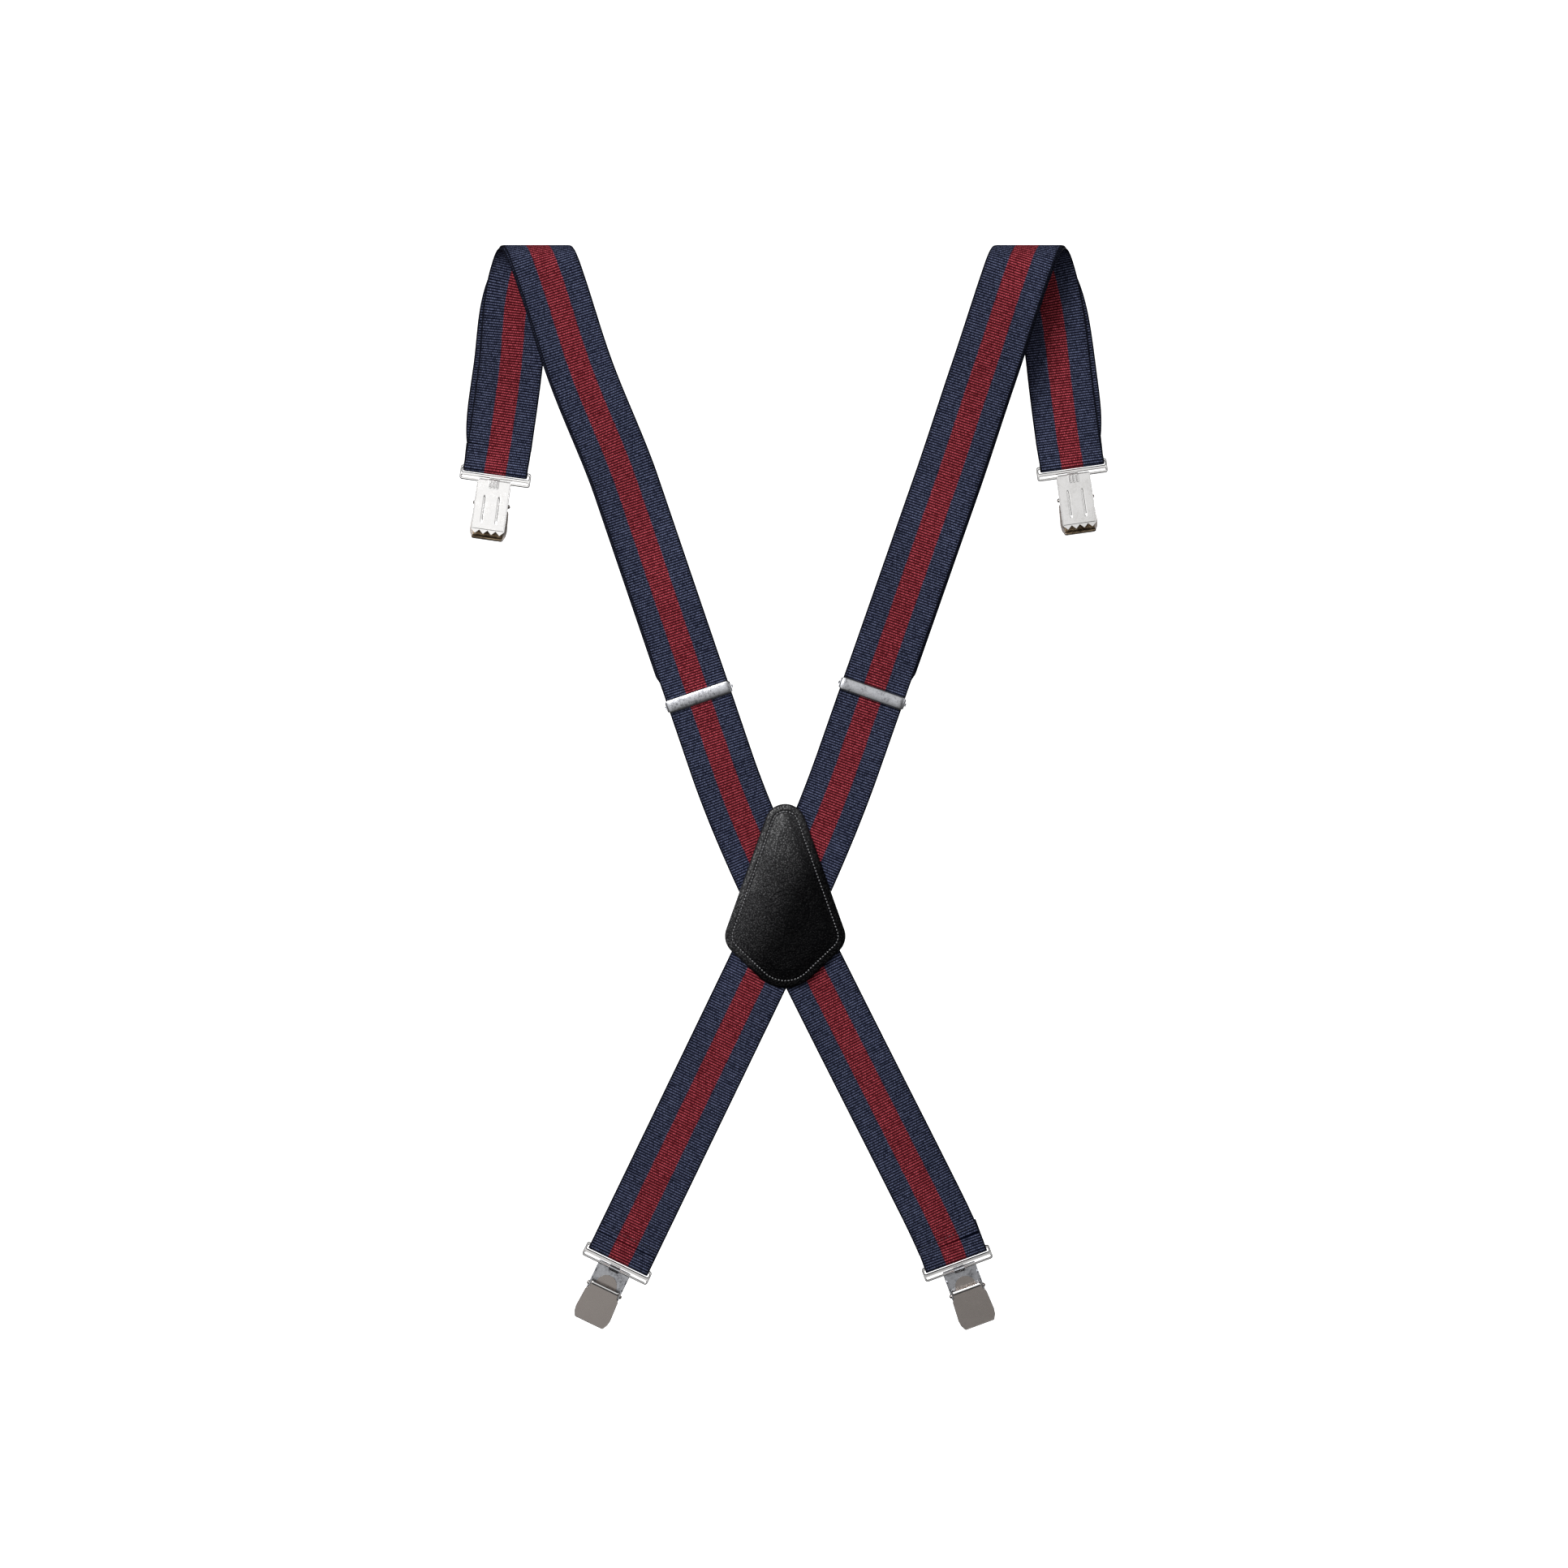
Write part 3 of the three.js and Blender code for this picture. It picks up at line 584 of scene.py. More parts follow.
def metal_material(name, light, dark, rough, wear):
    """Plated metal with fine drawn scratches and slow, duller patches."""
    n = Surface(name)
    place = n.object_place()
    x, y, z = n.split(place)
    stretched = [n.math("MULTIPLY", v, scale) for v, scale in ((x, 500.0), (y, 500.0), (z, 5200.0))]
    drawn = n.noise(n.combine(*stretched), 1.0, 3.0, 0.6)
    patches = n.span(n.noise(place, 150.0, 3.0, 0.6), 0.44, 0.62, smooth=True)
    nicks = n.span(n.noise(place, 1500.0, 2.0), 0.60, 0.72)
    mottle = n.span(n.noise(place, 620.0, 4.0, 0.7), 0.42, 0.62)
    scratches = n.math("MULTIPLY", n.span(drawn, 0.35, 0.75), 0.3)
    amount = n.math("ADD", scratches, n.math("MULTIPLY", mottle, 0.45))
    amount = n.math("ADD", amount, n.math("MULTIPLY", nicks, 0.3))
    amount = n.math("MULTIPLY", amount, n.span(patches, 0.0, 1.0, 0.25, 1.0))
    n.give(
        Base_Color=n.mix(n.math("MULTIPLY", amount, wear, clamp=True), light, dark),
        Roughness=n.math(
            "ADD", n.span(patches, 0, 1, rough, rough + 0.06), n.math("MULTIPLY", drawn, 0.03)),
        Normal=n.bump(n.math("ADD", drawn, nicks), 0.00001, 0.3 * wear),
    )
    n.shader.inputs["Metallic"].default_value = 1.0
    return n.material


def thread_material(name, dark, light):
    n = Surface(name)
    twist = n.noise(n.object_place(), 2600.0, 2.0)
    n.give(
        Base_Color=n.mix(n.span(twist, 0.35, 0.65), dark, light),
        Roughness=n.span(twist, 0.3, 0.7, 0.3, 0.5),
    )
    return n.material


def studio_material():
    n = Surface("studio_white")
    grain = n.noise(n.object_place(), 3.0, 2.0)
    n.give(Base_Color=n.mix(grain, (0.90, 0.90, 0.90, 1), (0.92, 0.92, 0.92, 1)), Roughness=0.9)
    n.shader.inputs["Emission Color"].default_value = (1, 1, 1, 1)
    n.shader.inputs["Emission Strength"].default_value = 1.0
    return n.material


MATERIALS = {
    "webbing": webbing_material(),
    "leather": leather_material(),
    "bright_nickel": metal_material(
        "bright_nickel", (0.92, 0.91, 0.90, 1), (0.50, 0.48, 0.46, 1), 0.08, 0.4),
    "satin_nickel": metal_material(
        "satin_nickel", (0.41, 0.37, 0.345, 1), (0.31, 0.28, 0.262, 1), 0.24, 0.2),
    # worn nickel, darker and duller; on the back clips' plates it also stands as painted shade
    "worn_nickel_and_painted_shade": metal_material(
        "worn_nickel_and_painted_shade", (0.58, 0.59, 0.62, 1), (0.07, 0.07, 0.08, 1), 0.20, 1.3),
    "brown_metal": metal_material(
        "brown_metal", (0.26, 0.19, 0.12, 1), (0.035, 0.022, 0.014, 1), 0.34, 1.6),
    "thread": thread_material(
        "black_thread", (0.010, 0.010, 0.014, 1), (0.10, 0.10, 0.12, 1)),
    "waxed_thread": thread_material(
        "waxed_thread", (0.10, 0.10, 0.11, 1), (0.55, 0.55, 0.57, 1)),
}


# ---- one side's webbing ----
def add_run(key, side):
    """The sewn back end and the front run, up to the rail. Gives the length so far."""
    back_end = side["route"][0][0]
    closed = LAYER / 2
    matrix = frame_on(side, back_end, -OUTER_RADIUS - side["depth"] + closed)
    sewn = turn_places(LOOP_EASE, SEWN_TAIL, LOOP_RADIUS, closed, closed, LOOP_EASE)
    _, lean = place_on(side, back_end + 0.6)
    run = route_rows(side, back_end + LOOP_EASE * math.cos(lean) + 0.3, 0, OUTER_RADIUS)
    turn = turn_rows(sewn, matrix)
    seam = (turn[1][-1] + SEAM_HEIGHT - LOOP_EASE, SEAM_DENT)
    obj = add_webbing(f"webbing_{key}_run", [turn, run], dents=[seam])
    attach(obj, "straps")
    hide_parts(f"strap_{key}")
    return turn[1][-1] + run[1][-1]


def add_layers(key, side, so_far):
    """The outer and the returned layer, over the rail and down the hanging end to its loop."""
    hang, front = f"hang_{key}", f"front_end_{key}"
    # the shoulder piece starts just above the hinge and ends below it, in the hanging webbing
    ring_at = FOLD_LENGTH + side["hang"]
    _, lean = place_on(side, ring_at)
    hang_to = ring_at - LOOP_LEG * math.cos(lean)
    give = [strap_point(side, height, OUTER_RADIUS) for height in (FOLD_LENGTH + 30, hang_to - 1)]
    bend_end = FOLD_LENGTH + BEND_REACH

    def down_hang(height):
        return np.clip((height - FOLD_LENGTH) / (hang_to - FOLD_LENGTH), 0, 1)

    def bulge(height):
        t = down_hang(height)
        return PEEK_LOOP * t + PEEK_HANG * (1 - (2 * t - 1) ** 4)

    def fade(height):
        return PEEK_FRONT * (1 - down_hang(height))

    layers = (("outer", OUTER_RADIUS, bulge, so_far), ("inner", INNER_RADIUS, fade, 0))
    for layer, radius, peek, start in layers:
        over = route_rows(side, 0, bend_end, radius, peek)
        obj = add_webbing(f"webbing_{key}_{layer}_shoulder", [over], start)
        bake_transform(obj)
        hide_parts(f"fold_{layer}_{key}")
        down = route_rows(side, bend_end, hang_to, radius, peek)
        obj = add_webbing(f"webbing_{key}_{layer}_hanging", [down], start + over[1][-1])
        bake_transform(obj)
        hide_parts(f"hang_{layer}_{key}")
        so_far = start + over[1][-1] + down[1][-1]

    closed = LAYER / 2
    matrix = frame_on(side, ring_at, (OUTER_RADIUS + INNER_RADIUS) / 2)
    loop = turn_places(LOOP_LEG, LOOP_LEG, LOOP_RADIUS, closed, closed, LOOP_EASE)
    rows = turn_rows(loop, matrix, -side["out"] * PEEK_LOOP)
    obj = add_webbing(f"webbing_{key}_front_loop", [rows], so_far)
    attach(obj, front)
    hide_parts(f"front_loop_{key}")


def add_returned(key, side):
    """The returned layer behind the front run, and its tail round the adjuster's bar."""
    adjuster_body = f"adjuster_{key}"
    _, lean = place_on(side, side["adjuster"])
    top = side["adjuster"] + TAIL_HEIGHT * math.cos(lean)

    def peek(height):
        return PEEK_FRONT * ease((height - top) / 5)

    returned = route_rows(side, top, 0, INNER_RADIUS, peek)
    obj = add_webbing(f"webbing_{key}_returned", [returned])
    strap_point(side, 0, INNER_RADIUS)
    strap_point(side, top + 2, INNER_RADIUS)
    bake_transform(obj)
    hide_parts(f"return_strap_{key}")
    closed = LAYER - TAIL_RADIUS
    tail = turn_places(TAIL_HEIGHT, TAIL_HEIGHT - 2, TAIL_RADIUS, TAIL_RADIUS, closed, TAIL_EASE)
    tail[:, 0] += BAR_SETBACK
    matrix = frame_on(side, side["adjuster"], -OUTER_RADIUS)
    rows = turn_rows(tail, matrix)
    obj = add_webbing(f"webbing_{key}_tail_loop", [rows], dents=[(TAIL_SEAM, SEAM_DENT)])
    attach(obj, adjuster_body)
    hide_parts(f"tail_loop_{key}")


for side_key, side_facts in SIDES.items():
    length_so_far = add_run(side_key, side_facts)
    add_layers(side_key, side_facts, length_so_far)
    add_returned(side_key, side_facts)


# ---- threads ----
def stitch_mesh(name, stitches, radius):
    """Short stitches, each from one point to another, bowed out along the normal between its holes."""
    sides = 6
    points, faces = [], []
    along = np.linspace(0, 1, 6)
    for start, end, normal in stitches:
        start, end, normal = np.array(start), np.array(end), np.array(normal)
        ahead = end - start
        aside = np.cross(ahead, normal)
        aside /= np.linalg.norm(aside)
        faces += ring_faces(len(along), sides, len(points))
        for t in along:
            bow = radius * (2.2 * math.sin(math.pi * t) - 1.4)
            size = radius * (0.55 + 0.45 * math.sin(math.pi * t))
            middle = start + ahead * t + normal * bow
            for k in range(sides):
                angle = 2 * math.pi * k / sides
                offset = math.cos(angle) * aside + math.sin(angle) * normal
                points.append((middle + size * offset) * MM)
    return make_mesh(name, points, faces)


def add_stitches(name, stitches, body, radius, material):
    obj = make_object(name, stitch_mesh(name, stitches, radius))
    obj.data.materials.append(MATERIALS[material])
    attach(obj, body)


def add_seam(name, side, height, body):
    """A row of stitches across the outer face of the webbing, at a height on the front run."""
    x, lean = place_on(side, height)
    drop = side["depth"] * float(ease((CROSSING_TOP - height) / CROSSING_EASE))
    y = -(OUTER_RADIUS + drop + WEB_THICK / 2 - SEAM_DENT)
    stitches = []
    for left in np.arange(-17.2, 16, SEAM_PITCH):
        ends = [
            (x - across * math.cos(lean), y, height + across * math.sin(lean))
            for across in (left + 0.25, left + SEAM_PITCH - 0.25)
        ]
        stitches.append((*ends, (0, -1, 0)))
    add_stitches(name, stitches, body, SEAM_THREAD, "thread")


for side_key, side_facts in SIDES.items():
    end_height = side_facts["route"][0][0]
    _, end_lean = place_on(side_facts, end_height + 6)
    seam_height = end_height + SEAM_HEIGHT * math.cos(end_lean)
    add_seam(f"seam_{side_key}_back_end", side_facts, seam_height, "straps")


# ---- the leather patch ----
def patch_outline(count):
    """Evenly spaced points and outward normals round the patch, in X and Z."""
    corners = [np.array(c[:2], float) for c in PATCH_CORNERS]
    points, normals = [], []
    for i, corner in enumerate(corners):
        radius = PATCH_CORNERS[i][2]
        back = corners[i - 1] - corner
        ahead = corners[(i + 1) % len(corners)] - corner
        back /= np.linalg.norm(back)
        ahead /= np.linalg.norm(ahead)
        half = math.acos(float(back @ ahead)) / 2
        middle = (back + ahead) / np.linalg.norm(back + ahead)
        centre = corner + middle * radius / math.sin(half)
        first = corner + back * radius / math.tan(half) - centre
        last = corner + ahead * radius / math.tan(half) - centre
        turn = math.atan2(first[0] * last[1] - first[1] * last[0], float(first @ last))
        start = math.atan2(first[1], first[0])
        for t in np.linspace(0, 1, 40):
            angle = start + turn * t
            normal = np.array([math.cos(angle), math.sin(angle)])
            points.append(centre + radius * normal)
            normals.append(normal)
    points, normals = np.array(points + points[:1]), np.array(normals + normals[:1])
    s = lengths(points)
    at = np.linspace(0, s[-1], count, endpoint=False)
    even_points = np.stack([np.interp(at, s, points[:, k]) for k in range(2)], 1)
    even_normals = np.stack([np.interp(at, s, normals[:, k]) for k in range(2)], 1)
    return even_points, even_normals / np.linalg.norm(even_normals, axis=1)[:, None]


def patch_height(inset, x, z):
    """How far the leather's face stands in front of its back, at a distance in from its edge."""
    from_round = 1 - np.clip(inset / PATCH_EDGE, 0, 1)
    edge = PATCH_THICK - PATCH_EDGE * (1 - np.sqrt(np.clip(1 - from_round**2, 0, 1)))
    channel = -CHANNEL_DEPTH * np.exp(-(((inset - CHANNEL_INSET) / CHANNEL_HALF) ** 2))
    pillow = PILLOW * ease((inset - CHANNEL_INSET) / PILLOW_REACH)
    across = (x - PATCH_SHIFT) / DOME_HALF_WIDTH
    down = (z - PATCH_MIDDLE) / DOME_HALF_HEIGHT
    dome = DOME * np.clip(1 - across**2 - down**2, 0, 1)
    ring = np.hypot(x - RING_MARK[0], z - RING_MARK[1]) - RING_MARK[2]
    mark = -RING_MARK_DEPTH * sum(np.exp(-(((ring - at) / half) ** 2)) for at, half in RING_MARK_LINES)
    return edge + channel + pillow + dome * ease(inset / DOME_REACH) + mark


def add_patch():
    """The leather face: rings of points that run in from the outline to circles round the mark."""
    count = 360
    outline, normals = patch_outline(count)
    insets = [0, 0, 0.05, 0.15, 0.3, 0.5, 0.8, 1.4, 2.1, 2.8]
    insets += list(np.arange(3.1, 5.7, 0.2)) + [6.1, 6.7, 7.4]
    rings = [(outline - normals * d, np.full(count, float(d))) for d in insets]
    inner, centre = rings[-1][0], np.array(RING_MARK[:2])
    reach = np.linalg.norm(inner - centre, axis=1)
    direction = (inner - centre) / reach[:, None]
    wide = RING_MARK[2] + 1.4
    for t in np.linspace(0, 1, 12)[1:]:
        radius = reach * (1 - t) + wide * t
        rings.append((centre + direction * radius[:, None], insets[-1] + (reach - radius)))
    for radius in list(np.arange(wide - 0.2, wide - 5.2, -0.2)) + list(np.linspace(wide - 6, 0.6, 6)):
        rings.append((centre + direction * radius, insets[-1] + (reach - radius)))
    points = []
    for i, (ring, inset) in enumerate(rings):
        x, z = ring[:, 0] + PATCH_SHIFT, ring[:, 1]
        height = np.full(count, 0.05) if i == 0 else patch_height(inset, x, z)
        points.append(np.stack([x, PATCH_FRONT - height, z], 1))
    add_leather("leather_patch", np.concatenate(points) * MM, count, "patch_front")


def add_leather(name, points, count, node):
    """Leather made of rings of points, count in each, in place of a CAD node."""
    mesh = make_mesh(name, points.tolist(), ring_faces(len(points) // count, count))
    obj = make_object(name, mesh)
    turn_outwards(obj)
    obj.data.materials.append(MATERIALS["leather"])
    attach(obj, "straps")
    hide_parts(node)


def channel_stitches(outline, normals, face_at, out):
    """Stitches along the channel. Face_at gives the leather's Y at an X and Z, and out its normal."""
    line = outline - normals * CHANNEL_INSET
    s = lengths(np.concatenate([line, line[:1]]))
    number = int(round(s[-1] / STITCH_PITCH))
    stitches = []
    for i in range(number):
        ends = []
        for at in ((i + 0.12) / number, (i + 0.88) / number):
            x = float(np.interp(at * s[-1], s[:-1], line[:, 0])) + PATCH_SHIFT
            z = float(np.interp(at * s[-1], s[:-1], line[:, 1]))
            ends.append((x, face_at(x, z), z))
        stitches.append((*ends, out))
    return stitches


def add_patch_stitches():
    def face_at(x, z):
        return PATCH_FRONT - float(patch_height(np.array(CHANNEL_INSET), x, z))

    stitches = channel_stitches(*patch_outline(2000), face_at, (0, -1, 0))
    add_stitches("leather_patch_stitches", stitches, "straps", PATCH_THREAD, "waxed_thread")


def add_lining():
    """The softer leather on the wearer's side, with a rounded edge and its own row of stitches."""
    count = 240
    outline, normals = patch_outline(count)
    centre = np.array([0, PATCH_MIDDLE])
    inner = outline - normals * LINING_CHANNEL
    points = []
    for inset, height in LINING_PROFILE:
        if inset > LINING_CHANNEL:
            ring = centre + (inner - centre) * (1 - (inset - LINING_CHANNEL) / 40)
        else:
            ring = outline - normals * inset
        points += [(x + PATCH_SHIFT, LINING_BACK + height, z) for x, z in ring]
    add_leather("leather_lining", np.array(points) * MM, count, "patch_lining")
    stitches = channel_stitches(outline, normals, lambda x, z: LINING_BACK + LINING_FLOOR, (0, 1, 0))
    add_stitches("leather_lining_stitches", stitches, "straps", LINING_THREAD, "waxed_thread")


add_patch()
add_patch_stitches()
add_lining()


# ---- metal ----
def finish_edges(obj, width):
    """Merge flat areas and round the edges between them."""
    flatten = obj.modifiers.new("flatten", "DECIMATE")
    flatten.decimate_type = "DISSOLVE"
    flatten.angle_limit = math.radians(1.0)
    edge = obj.modifiers.new("edge", "BEVEL")
    edge.width = width
    edge.segments = 3
    edge.limit_method = "ANGLE"
    edge.angle_limit = math.radians(30)
    edge.use_clamp_overlap = False
    edge.harden_normals = True
    obj.data.polygons.foreach_set("use_smooth", [True] * len(obj.data.polygons))


def rounded_copy(node, material, bevel=0.00012):
    """A copy of a CAD node's shape with its edges rounded, standing for the node."""
    obj = make_object(f"{node}_finished", frame["nodes"][node].data.copy())
    obj.data.materials.clear()
    obj.data.materials.append(MATERIALS[material])
    finish_edges(obj, bevel)
    body = next(b for b, nodes in frame["record"]["behaviour"]["bodies"].items() if node in nodes)
    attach(obj, body)
    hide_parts(node)


def grid_mesh(name, points, thickness):
    """A sheet through a grid of points, made solid by a second skin at a thickness behind it."""
    grid = np.array(points, float)
    rows, columns = grid.shape[:2]
    along = np.gradient(grid, axis=0)
    across = np.gradient(grid, axis=1)
    normal = np.cross(along, across)
    normal /= np.linalg.norm(normal, axis=2)[:, :, None]
    both = np.concatenate([grid.reshape(-1, 3), (grid - normal * thickness).reshape(-1, 3)])
    index = np.arange(rows * columns).reshape(rows, columns)
    far = index + rows * columns
    faces = []
    for i in range(rows - 1):
        for k in range(columns - 1):
            faces.append((index[i, k], index[i, k + 1], index[i + 1, k + 1], index[i + 1, k]))
            faces.append((far[i, k], far[i + 1, k], far[i + 1, k + 1], far[i, k + 1]))
    rim = list(index[0]) + list(index[1:, -1]) + list(index[-1, -2::-1]) + list(index[-2:0:-1, 0])
    for i, a in enumerate(rim):
        b = rim[(i + 1) % len(rim)]
        faces.append((int(b), int(a), int(a) + rows * columns, int(b) + rows * columns))
    return make_mesh(name, both.tolist(), [tuple(int(v) for v in f) for f in faces])


def adjuster_cover(name):
    """The adjuster's plate: one strip, arched a little, its two ends bent back to hold the bar."""
    front = -WEB_THICK / 2 - GAP - COVER_THICK
    half, end = COVER_LENGTH / 2, BAR_SETBACK + 2
    straight = half - COVER_BEND
    corner = [
        (straight + COVER_BEND * math.cos(a), front + COVER_BEND * (1 - math.sin(a)))
        for a in np.linspace(0, math.pi / 2, 9)[1:-1]
    ]
    path = [(-half, y) for y in np.linspace(end, front + COVER_BEND, 9)]
    path += [(-x, y) for x, y in corner]
    path += [(x, front) for x in np.linspace(-straight, straight, 45)]
    path += corner[::-1]
    path += [(half, y) for y in np.linspace(front + COVER_BEND, end, 9)]
    path = np.array(path)
    ahead = np.gradient(path, axis=0)
    ahead /= np.linalg.norm(ahead, axis=1)[:, None]
    out = np.stack([ahead[:, 1], -ahead[:, 0]], 1)
    rows = []
    for (x, y), (ox, oy) in zip(path, out):
        tall = COVER_HEIGHT / 2 - COVER_TAPER * float(ease((abs(x) - half) / COVER_CORNER + 1))
        # the ears' ends are round about the bar
        if abs(x) > half - 0.01:
            from_bar = max(0.0, y - BAR_SETBACK)
            tall = min(tall, math.sqrt(max(EAR_RADIUS**2 - from_bar**2, 0.5)))
        row = []
        for t in np.linspace(-1, 1, 15):
            crown = COVER_CROWN * (1 - t * t) - 0.35 * float(ease((abs(t) - 0.84) / 0.16))
            face = 1 - float(ease((abs(x) - half + 3) / 3))
            row.append((x + ox * crown * face, y + oy * crown * (0.25 + 0.75 * face), tall * t))
        rows.append(row)
    return grid_mesh(name, rows, COVER_THICK)


def add_piece(mesh, matrix, body, material, slot, *nodes):
    """Place a mesh drawn in millimetres in a part's own frame, and tie it to the model."""
    obj = make_object(mesh.name, mesh)
    turn_outwards(obj)
    obj.data.transform(matrix @ Matrix.Scale(MM, 4))
    obj.data.materials.append(MATERIALS[material])
    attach(obj, body)
    if nodes:
        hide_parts(*nodes)


def metres(matrix):
    placed = matrix.copy()
    placed.translation = placed.translation * MM
    return placed


for side_key, side_facts in SIDES.items():
    adjuster_frame = metres(frame_on(side_facts, side_facts["adjuster"], -OUTER_RADIUS))
    add_piece(
        adjuster_cover(f"adjuster_plate_{side_key}"), adjuster_frame, f"adjuster_{side_key}",
        "worn_nickel_and_painted_shade", "satin_nickel", f"adjuster_cover_{side_key}",
    )
    rounded_copy(f"adjuster_bar_{side_key}", "worn_nickel_and_painted_shade", 0.0001)


# ---- the clips ----
def clip_matrix(clip):
    """The frame on the ring's lower bar: X along it, Z up towards the webbing."""
    swing = JOINTS[f"{clip}_clip_swing"]
    x = Vector(swing["axis"]).normalized()
    y = Vector((0, 1 if clip.startswith("back") else -1, 0))
    z = x.cross(y)
    matrix = Matrix((x, y, z)).transposed().to_4x4()
    matrix.translation = Vector(swing["pos_m"])
    return matrix


def rod_mesh(name, centres, radius, sides=12):
    """A round rod through points, with rounded ends."""
    centres = np.array(centres, float)
    ahead = np.gradient(centres, axis=0)
    ahead /= np.linalg.norm(ahead, axis=1)[:, None]
    first, last = ahead[0], ahead[-1]
    cap = [(t, radius * math.sqrt(1.02 - t * t)) for t in (0.35, 0.7, 1.0)]
    rows = [(centres[0] - first * radius * t, first, size) for t, size in reversed(cap)]
    rows += [(c, a, radius) for c, a in zip(centres, ahead)]
    rows += [(centres[-1] + last * radius * t, last, size) for t, size in cap]
    points = []
    for centre, direction, size in rows:
        one = np.cross(direction, (0.31, 0.93, 0.2))
        one /= np.linalg.norm(one)
        two = np.cross(direction, one)
        for k in range(sides):
            angle = 2 * math.pi * k / sides
            points.append(centre + size * (math.cos(angle) * one + math.sin(angle) * two))
    return make_mesh(name, points, ring_faces(len(rows), sides))


def hem_mesh(name, corners, y):
    """The rounded edge along a cover, through (x, z) corners."""
    corners = np.array(corners, float)
    s = lengths(corners)
    at = np.linspace(0, s[-1], int(s[-1] / 0.6))
    centres = [(np.interp(d, s, corners[:, 0]), y, np.interp(d, s, corners[:, 1])) for d in at]
    return rod_mesh(name, centres, HEM_RADIUS)


def plate_face(name):
    """The back plate's outer skin, with its pressed grooves and the short flutes over the wire."""
    rows = []
    for z in np.linspace(PLATE_BOTTOM + 0.4, PLATE_TOP - 0.2, 84):
        grooved = float(ease((z - GROOVE_BOTTOM) / 2) * ease((GROOVE_TOP - z) / 2))
        fluted = float(ease((z - FLUTE_BOTTOM) / 0.8))
        row = []
        for x in np.linspace(-PLATE_WIDTH / 2 + 0.3, PLATE_WIDTH / 2 - 0.3, 121):
            groove = grooved * max(math.exp(-(((x - at) / GROOVE_HALF) ** 2)) for at in GROOVE_PLACES)
            flute = fluted * max(math.exp(-(((x - at) / FLUTE_HALF) ** 2)) for at in FLUTE_PLACES)
            raised = 0.08 - GROOVE_DEPTH * groove + FLUTE_RISE * flute
            row.append((x, PLATE_INNER + PLATE_THICK + raised, z))
        rows.append(row)
    return grid_mesh(name, rows, 0.1)


def rolled_edge(name):
    """The jaw's top edge: a narrow crowned band."""
    rows = []
    for t in np.linspace(-1, 1, 11):
        y = JAW_OUTER - 0.3 * (1 - t * t)
        rows.append([(x, y, JAW_TOP - 0.55 + 0.95 * t) for x in np.linspace(8.6, -8.6, 25)])
    return grid_mesh(name, rows, 0.35)


def lip_grip(name):
    """The knurled skin on the jaw's lip: under it, round its end, and up the inside of the cover."""
    bottom = JAW_TOP - JAW_DROP
    start = JAW_OUTER + LIP_RADIUS
    end = start + LIP_REACH
    under = [(y, bottom - GRIP_SKIN, 0, -1) for y in np.linspace(start, end - 0.2, 16)]
    nose = [
        (end - 0.2 + 0.62 * math.sin(a), bottom + 0.4 - 0.52 * math.cos(a), math.sin(a), -math.cos(a))
        for a in np.linspace(0.3, math.pi - 0.3, 7)
    ]
    over = [(y, bottom + JAW_THICK + GRIP_SKIN, 0, 1) for y in np.linspace(end - 0.2, start, 14)]
    inner = LIP_RADIUS - JAW_THICK - GRIP_SKIN
    middle = bottom + LIP_RADIUS
    curl = [
        (start - inner * math.sin(a), middle - inner * math.cos(a), math.sin(a), math.cos(a))
        for a in np.linspace(0.15, math.pi / 2, 8)
    ]
    wall = [
        (JAW_OUTER + JAW_THICK + GRIP_SKIN, z, 1, 0)
        for z in np.linspace(middle + 0.3, bottom + 7.5, 18)
    ]
    line = under + nose + over + curl + wall
    rows = []
    for i, x in enumerate(np.linspace(-LIP_WIDTH / 2, LIP_WIDTH / 2, 74)):
        row = []
        for k, (y, z, ny, nz) in enumerate(line):
            knurl = 0.2 * abs(math.sin(i * math.pi / 4)) * abs(math.sin(k * math.pi / 4))
            row.append((x, y + ny * knurl, z + nz * knurl))
        rows.append(row)
    return grid_mesh(name, rows, 0.08)


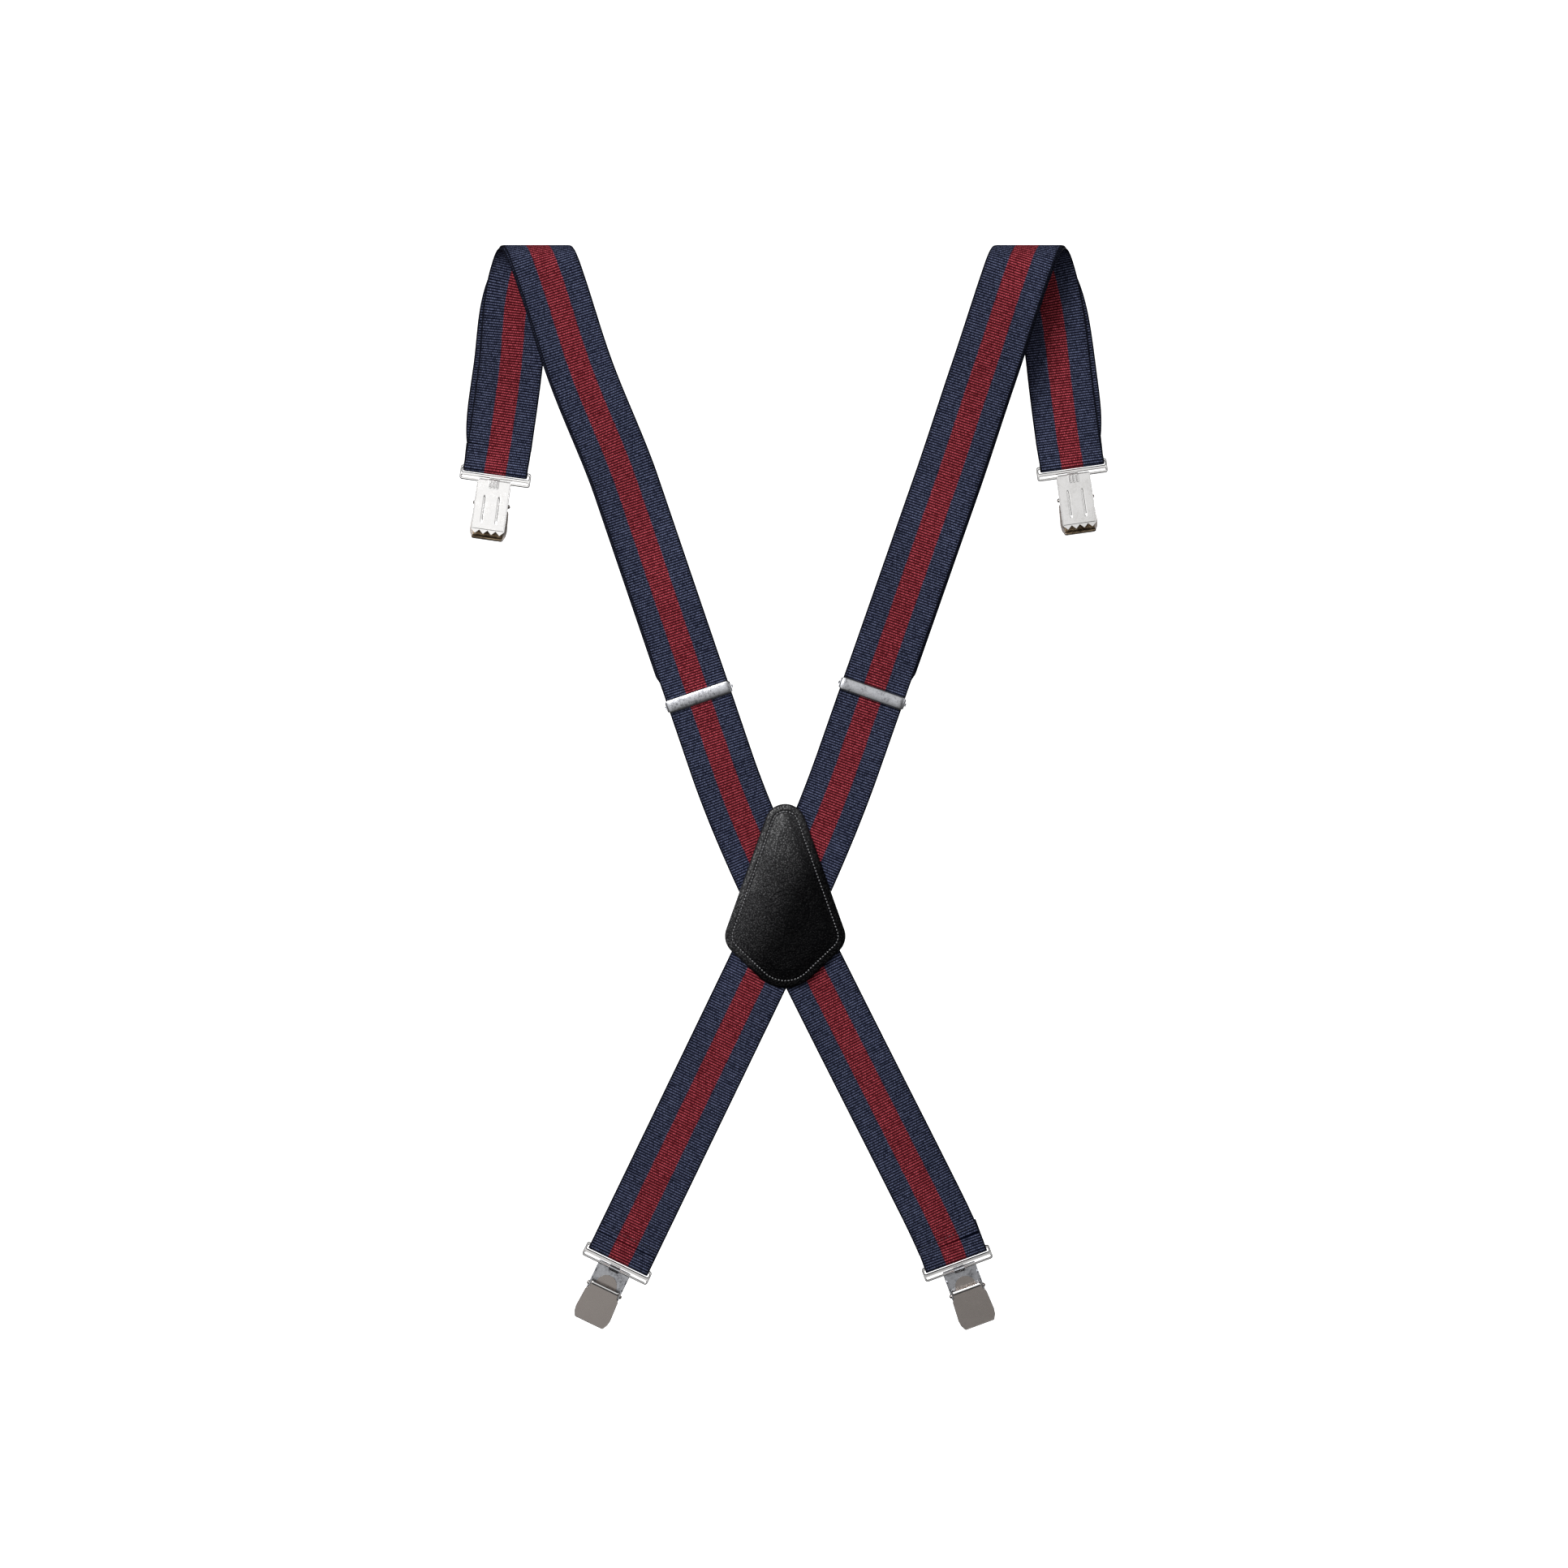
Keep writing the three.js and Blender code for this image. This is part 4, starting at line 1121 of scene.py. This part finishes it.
def add_clip(clip):
    ring, plate, jaw = f"{clip}_ring", f"{clip}_back_plate", f"{clip}_jaw"
    # the back clips' plates take the darker worn nickel as painted shade; the front clips' plates, the same metal,
    # take the bright nickel
    plate_metal = "worn_nickel_and_painted_shade" if clip.startswith("back") else "bright_nickel"
    rounded_copy(ring, "bright_nickel", 0.0002)
    rounded_copy(plate, plate_metal, 0.0002)
    rounded_copy(jaw, "satin_nickel", 0.0002)
    rounded_copy(f"{clip}_hinge_pin", "satin_nickel")
    rounded_copy(f"{clip}_spring_leaf", "satin_nickel", 0.00008)

    place = clip_matrix(clip)
    right = [(x - HEM_INSET, JAW_TOP - drop) for x, drop in JAW_OUTLINE]
    left = [(-x, z) for x, z in reversed(right)]
    hem = hem_mesh(f"{jaw}_hem", right + left, JAW_OUTER + JAW_THICK / 2)
    add_piece(hem, place, jaw, "satin_nickel", "satin_nickel")
    half, low = PLATE_WIDTH / 2, PLATE_BOTTOM + 0.3
    corners = [(-half, low), (-half, PLATE_TOP), (half, PLATE_TOP), (half, low)]
    hem = hem_mesh(f"{plate}_hem", corners, PLATE_INNER + PLATE_THICK / 2)
    add_piece(hem, place, f"{clip}_clip", plate_metal, "satin_nickel")
    add_piece(rolled_edge(f"{jaw}_rolled_edge"), place, jaw, "bright_nickel", "bright_nickel")
    add_piece(plate_face(f"{plate}_face"), place, f"{clip}_clip", "bright_nickel", "bright_nickel")
    add_piece(lip_grip(f"{jaw}_grip"), place, jaw, "brown_metal", "brown_metal")
    for end_name, end_x in (("left", -PIN_LENGTH / 2), ("right", PIN_LENGTH / 2)):
        head = [(end_x + step, PIN_Y, PIN_Z) for step in (-0.25, 0, 0.25)]
        rivet = rod_mesh(f"{clip}_rivet_{end_name}", head, RIVET_RADIUS, 20)
        add_piece(rivet, place, f"{clip}_clip", "satin_nickel", "satin_nickel")


for clip_name in ("front_left", "front_right", "back_left", "back_right"):
    add_clip(clip_name)


# ---- studio ----
def add_studio():
    """A pale floor that curves up into a wall far behind the suspenders."""
    floor = CAD_LOW.z - 0.25
    width, front, back, top, curve = 4.0, -3.2, 2.4, 3.0, 0.8
    profile = [(front, floor)]
    for i in range(13):
        angle = i / 12 * math.pi / 2
        profile.append((back - curve + curve * math.sin(angle), floor + curve * (1 - math.cos(angle))))
    profile.append((back, top))
    points = [(x, y, z) for y, z in profile for x in (-width, width)]
    faces = [(2 * i, 2 * i + 1, 2 * i + 3, 2 * i + 2) for i in range(len(profile) - 1)]
    sweep = make_object("studio_sweep", make_mesh("studio_sweep", points, faces))
    sweep.data.materials.append(studio_material())
    sweep.visible_glossy = False
    sweep.visible_diffuse = False


def add_light(name, place, target, size, power):
    data = bpy.data.lights.new(name, "AREA")
    data.shape = "RECTANGLE"
    data.size, data.size_y = size
    data.energy = power
    obj = make_object(name, data)
    obj.location = place
    obj.rotation_euler = (Vector(target) - Vector(place)).to_track_quat("-Z", "Y").to_euler()


def add_camera():
    """Level with the middle of the suspenders and square on to the front run."""
    data = bpy.data.cameras.new("camera")
    data.lens = LENS
    data.sensor_width = SENSOR
    camera = make_object("camera", data)
    camera.location = (0, -FRONT_RUN - VIEW_WIDTH * LENS / SENSOR, VIEW_HEIGHT)
    camera.rotation_euler = (math.pi / 2, 0, 0)
    bpy.context.scene.camera = camera


def add_world():
    """White to the camera. As light, a bright area high and to the left in front, a like one low and
    to the right behind, softer light from both sides, and dark between them."""
    world = bpy.data.worlds.new("studio")
    n = Nodes(world)
    direction = n.add("ShaderNodeTexCoord").outputs["Generated"]
    facing = n.add("ShaderNodeVectorMath", operation="DOT_PRODUCT")
    n.put(direction, facing.inputs[0])
    n.put(Vector(BRIGHT_TOWARDS).normalized(), facing.inputs[1])
    either_way = n.math("ABSOLUTE", facing.outputs["Value"])
    ends = n.span(either_way, math.cos(math.radians(BRIGHT_REACH)), 0.99, DARK, BRIGHT, smooth=True)
    to_side = n.math("ABSOLUTE", n.split(direction)[0])
    sides = n.span(to_side, *SIDE_FADE, DARK, SIDE_BRIGHT, smooth=True)
    light = n.tree.nodes["Background"]
    light.inputs["Color"].default_value = (1, 1, 1, 1)
    n.put(n.math("MAXIMUM", ends, sides), light.inputs["Strength"])
    white = n.add("ShaderNodeBackground")
    white.inputs["Color"].default_value = (1, 1, 1, 1)
    mix = n.add("ShaderNodeMixShader")
    n.put(n.add("ShaderNodeLightPath").outputs["Is Camera Ray"], mix.inputs[0])
    n.put(light.outputs[0], mix.inputs[1])
    n.put(white.outputs[0], mix.inputs[2])
    n.put(mix.outputs[0], n.tree.nodes["World Output"].inputs["Surface"])
    bpy.context.scene.world = world


add_studio()
add_camera()
middle = (CAD_LOW + CAD_HIGH) / 2
for light_name, (light_place, light_size, light_power) in LIGHTS.items():
    add_light(light_name, light_place, middle, light_size, light_power)
add_world()
bpy.context.scene.view_settings.view_transform = "Standard"

bpy.context.view_layer.update()
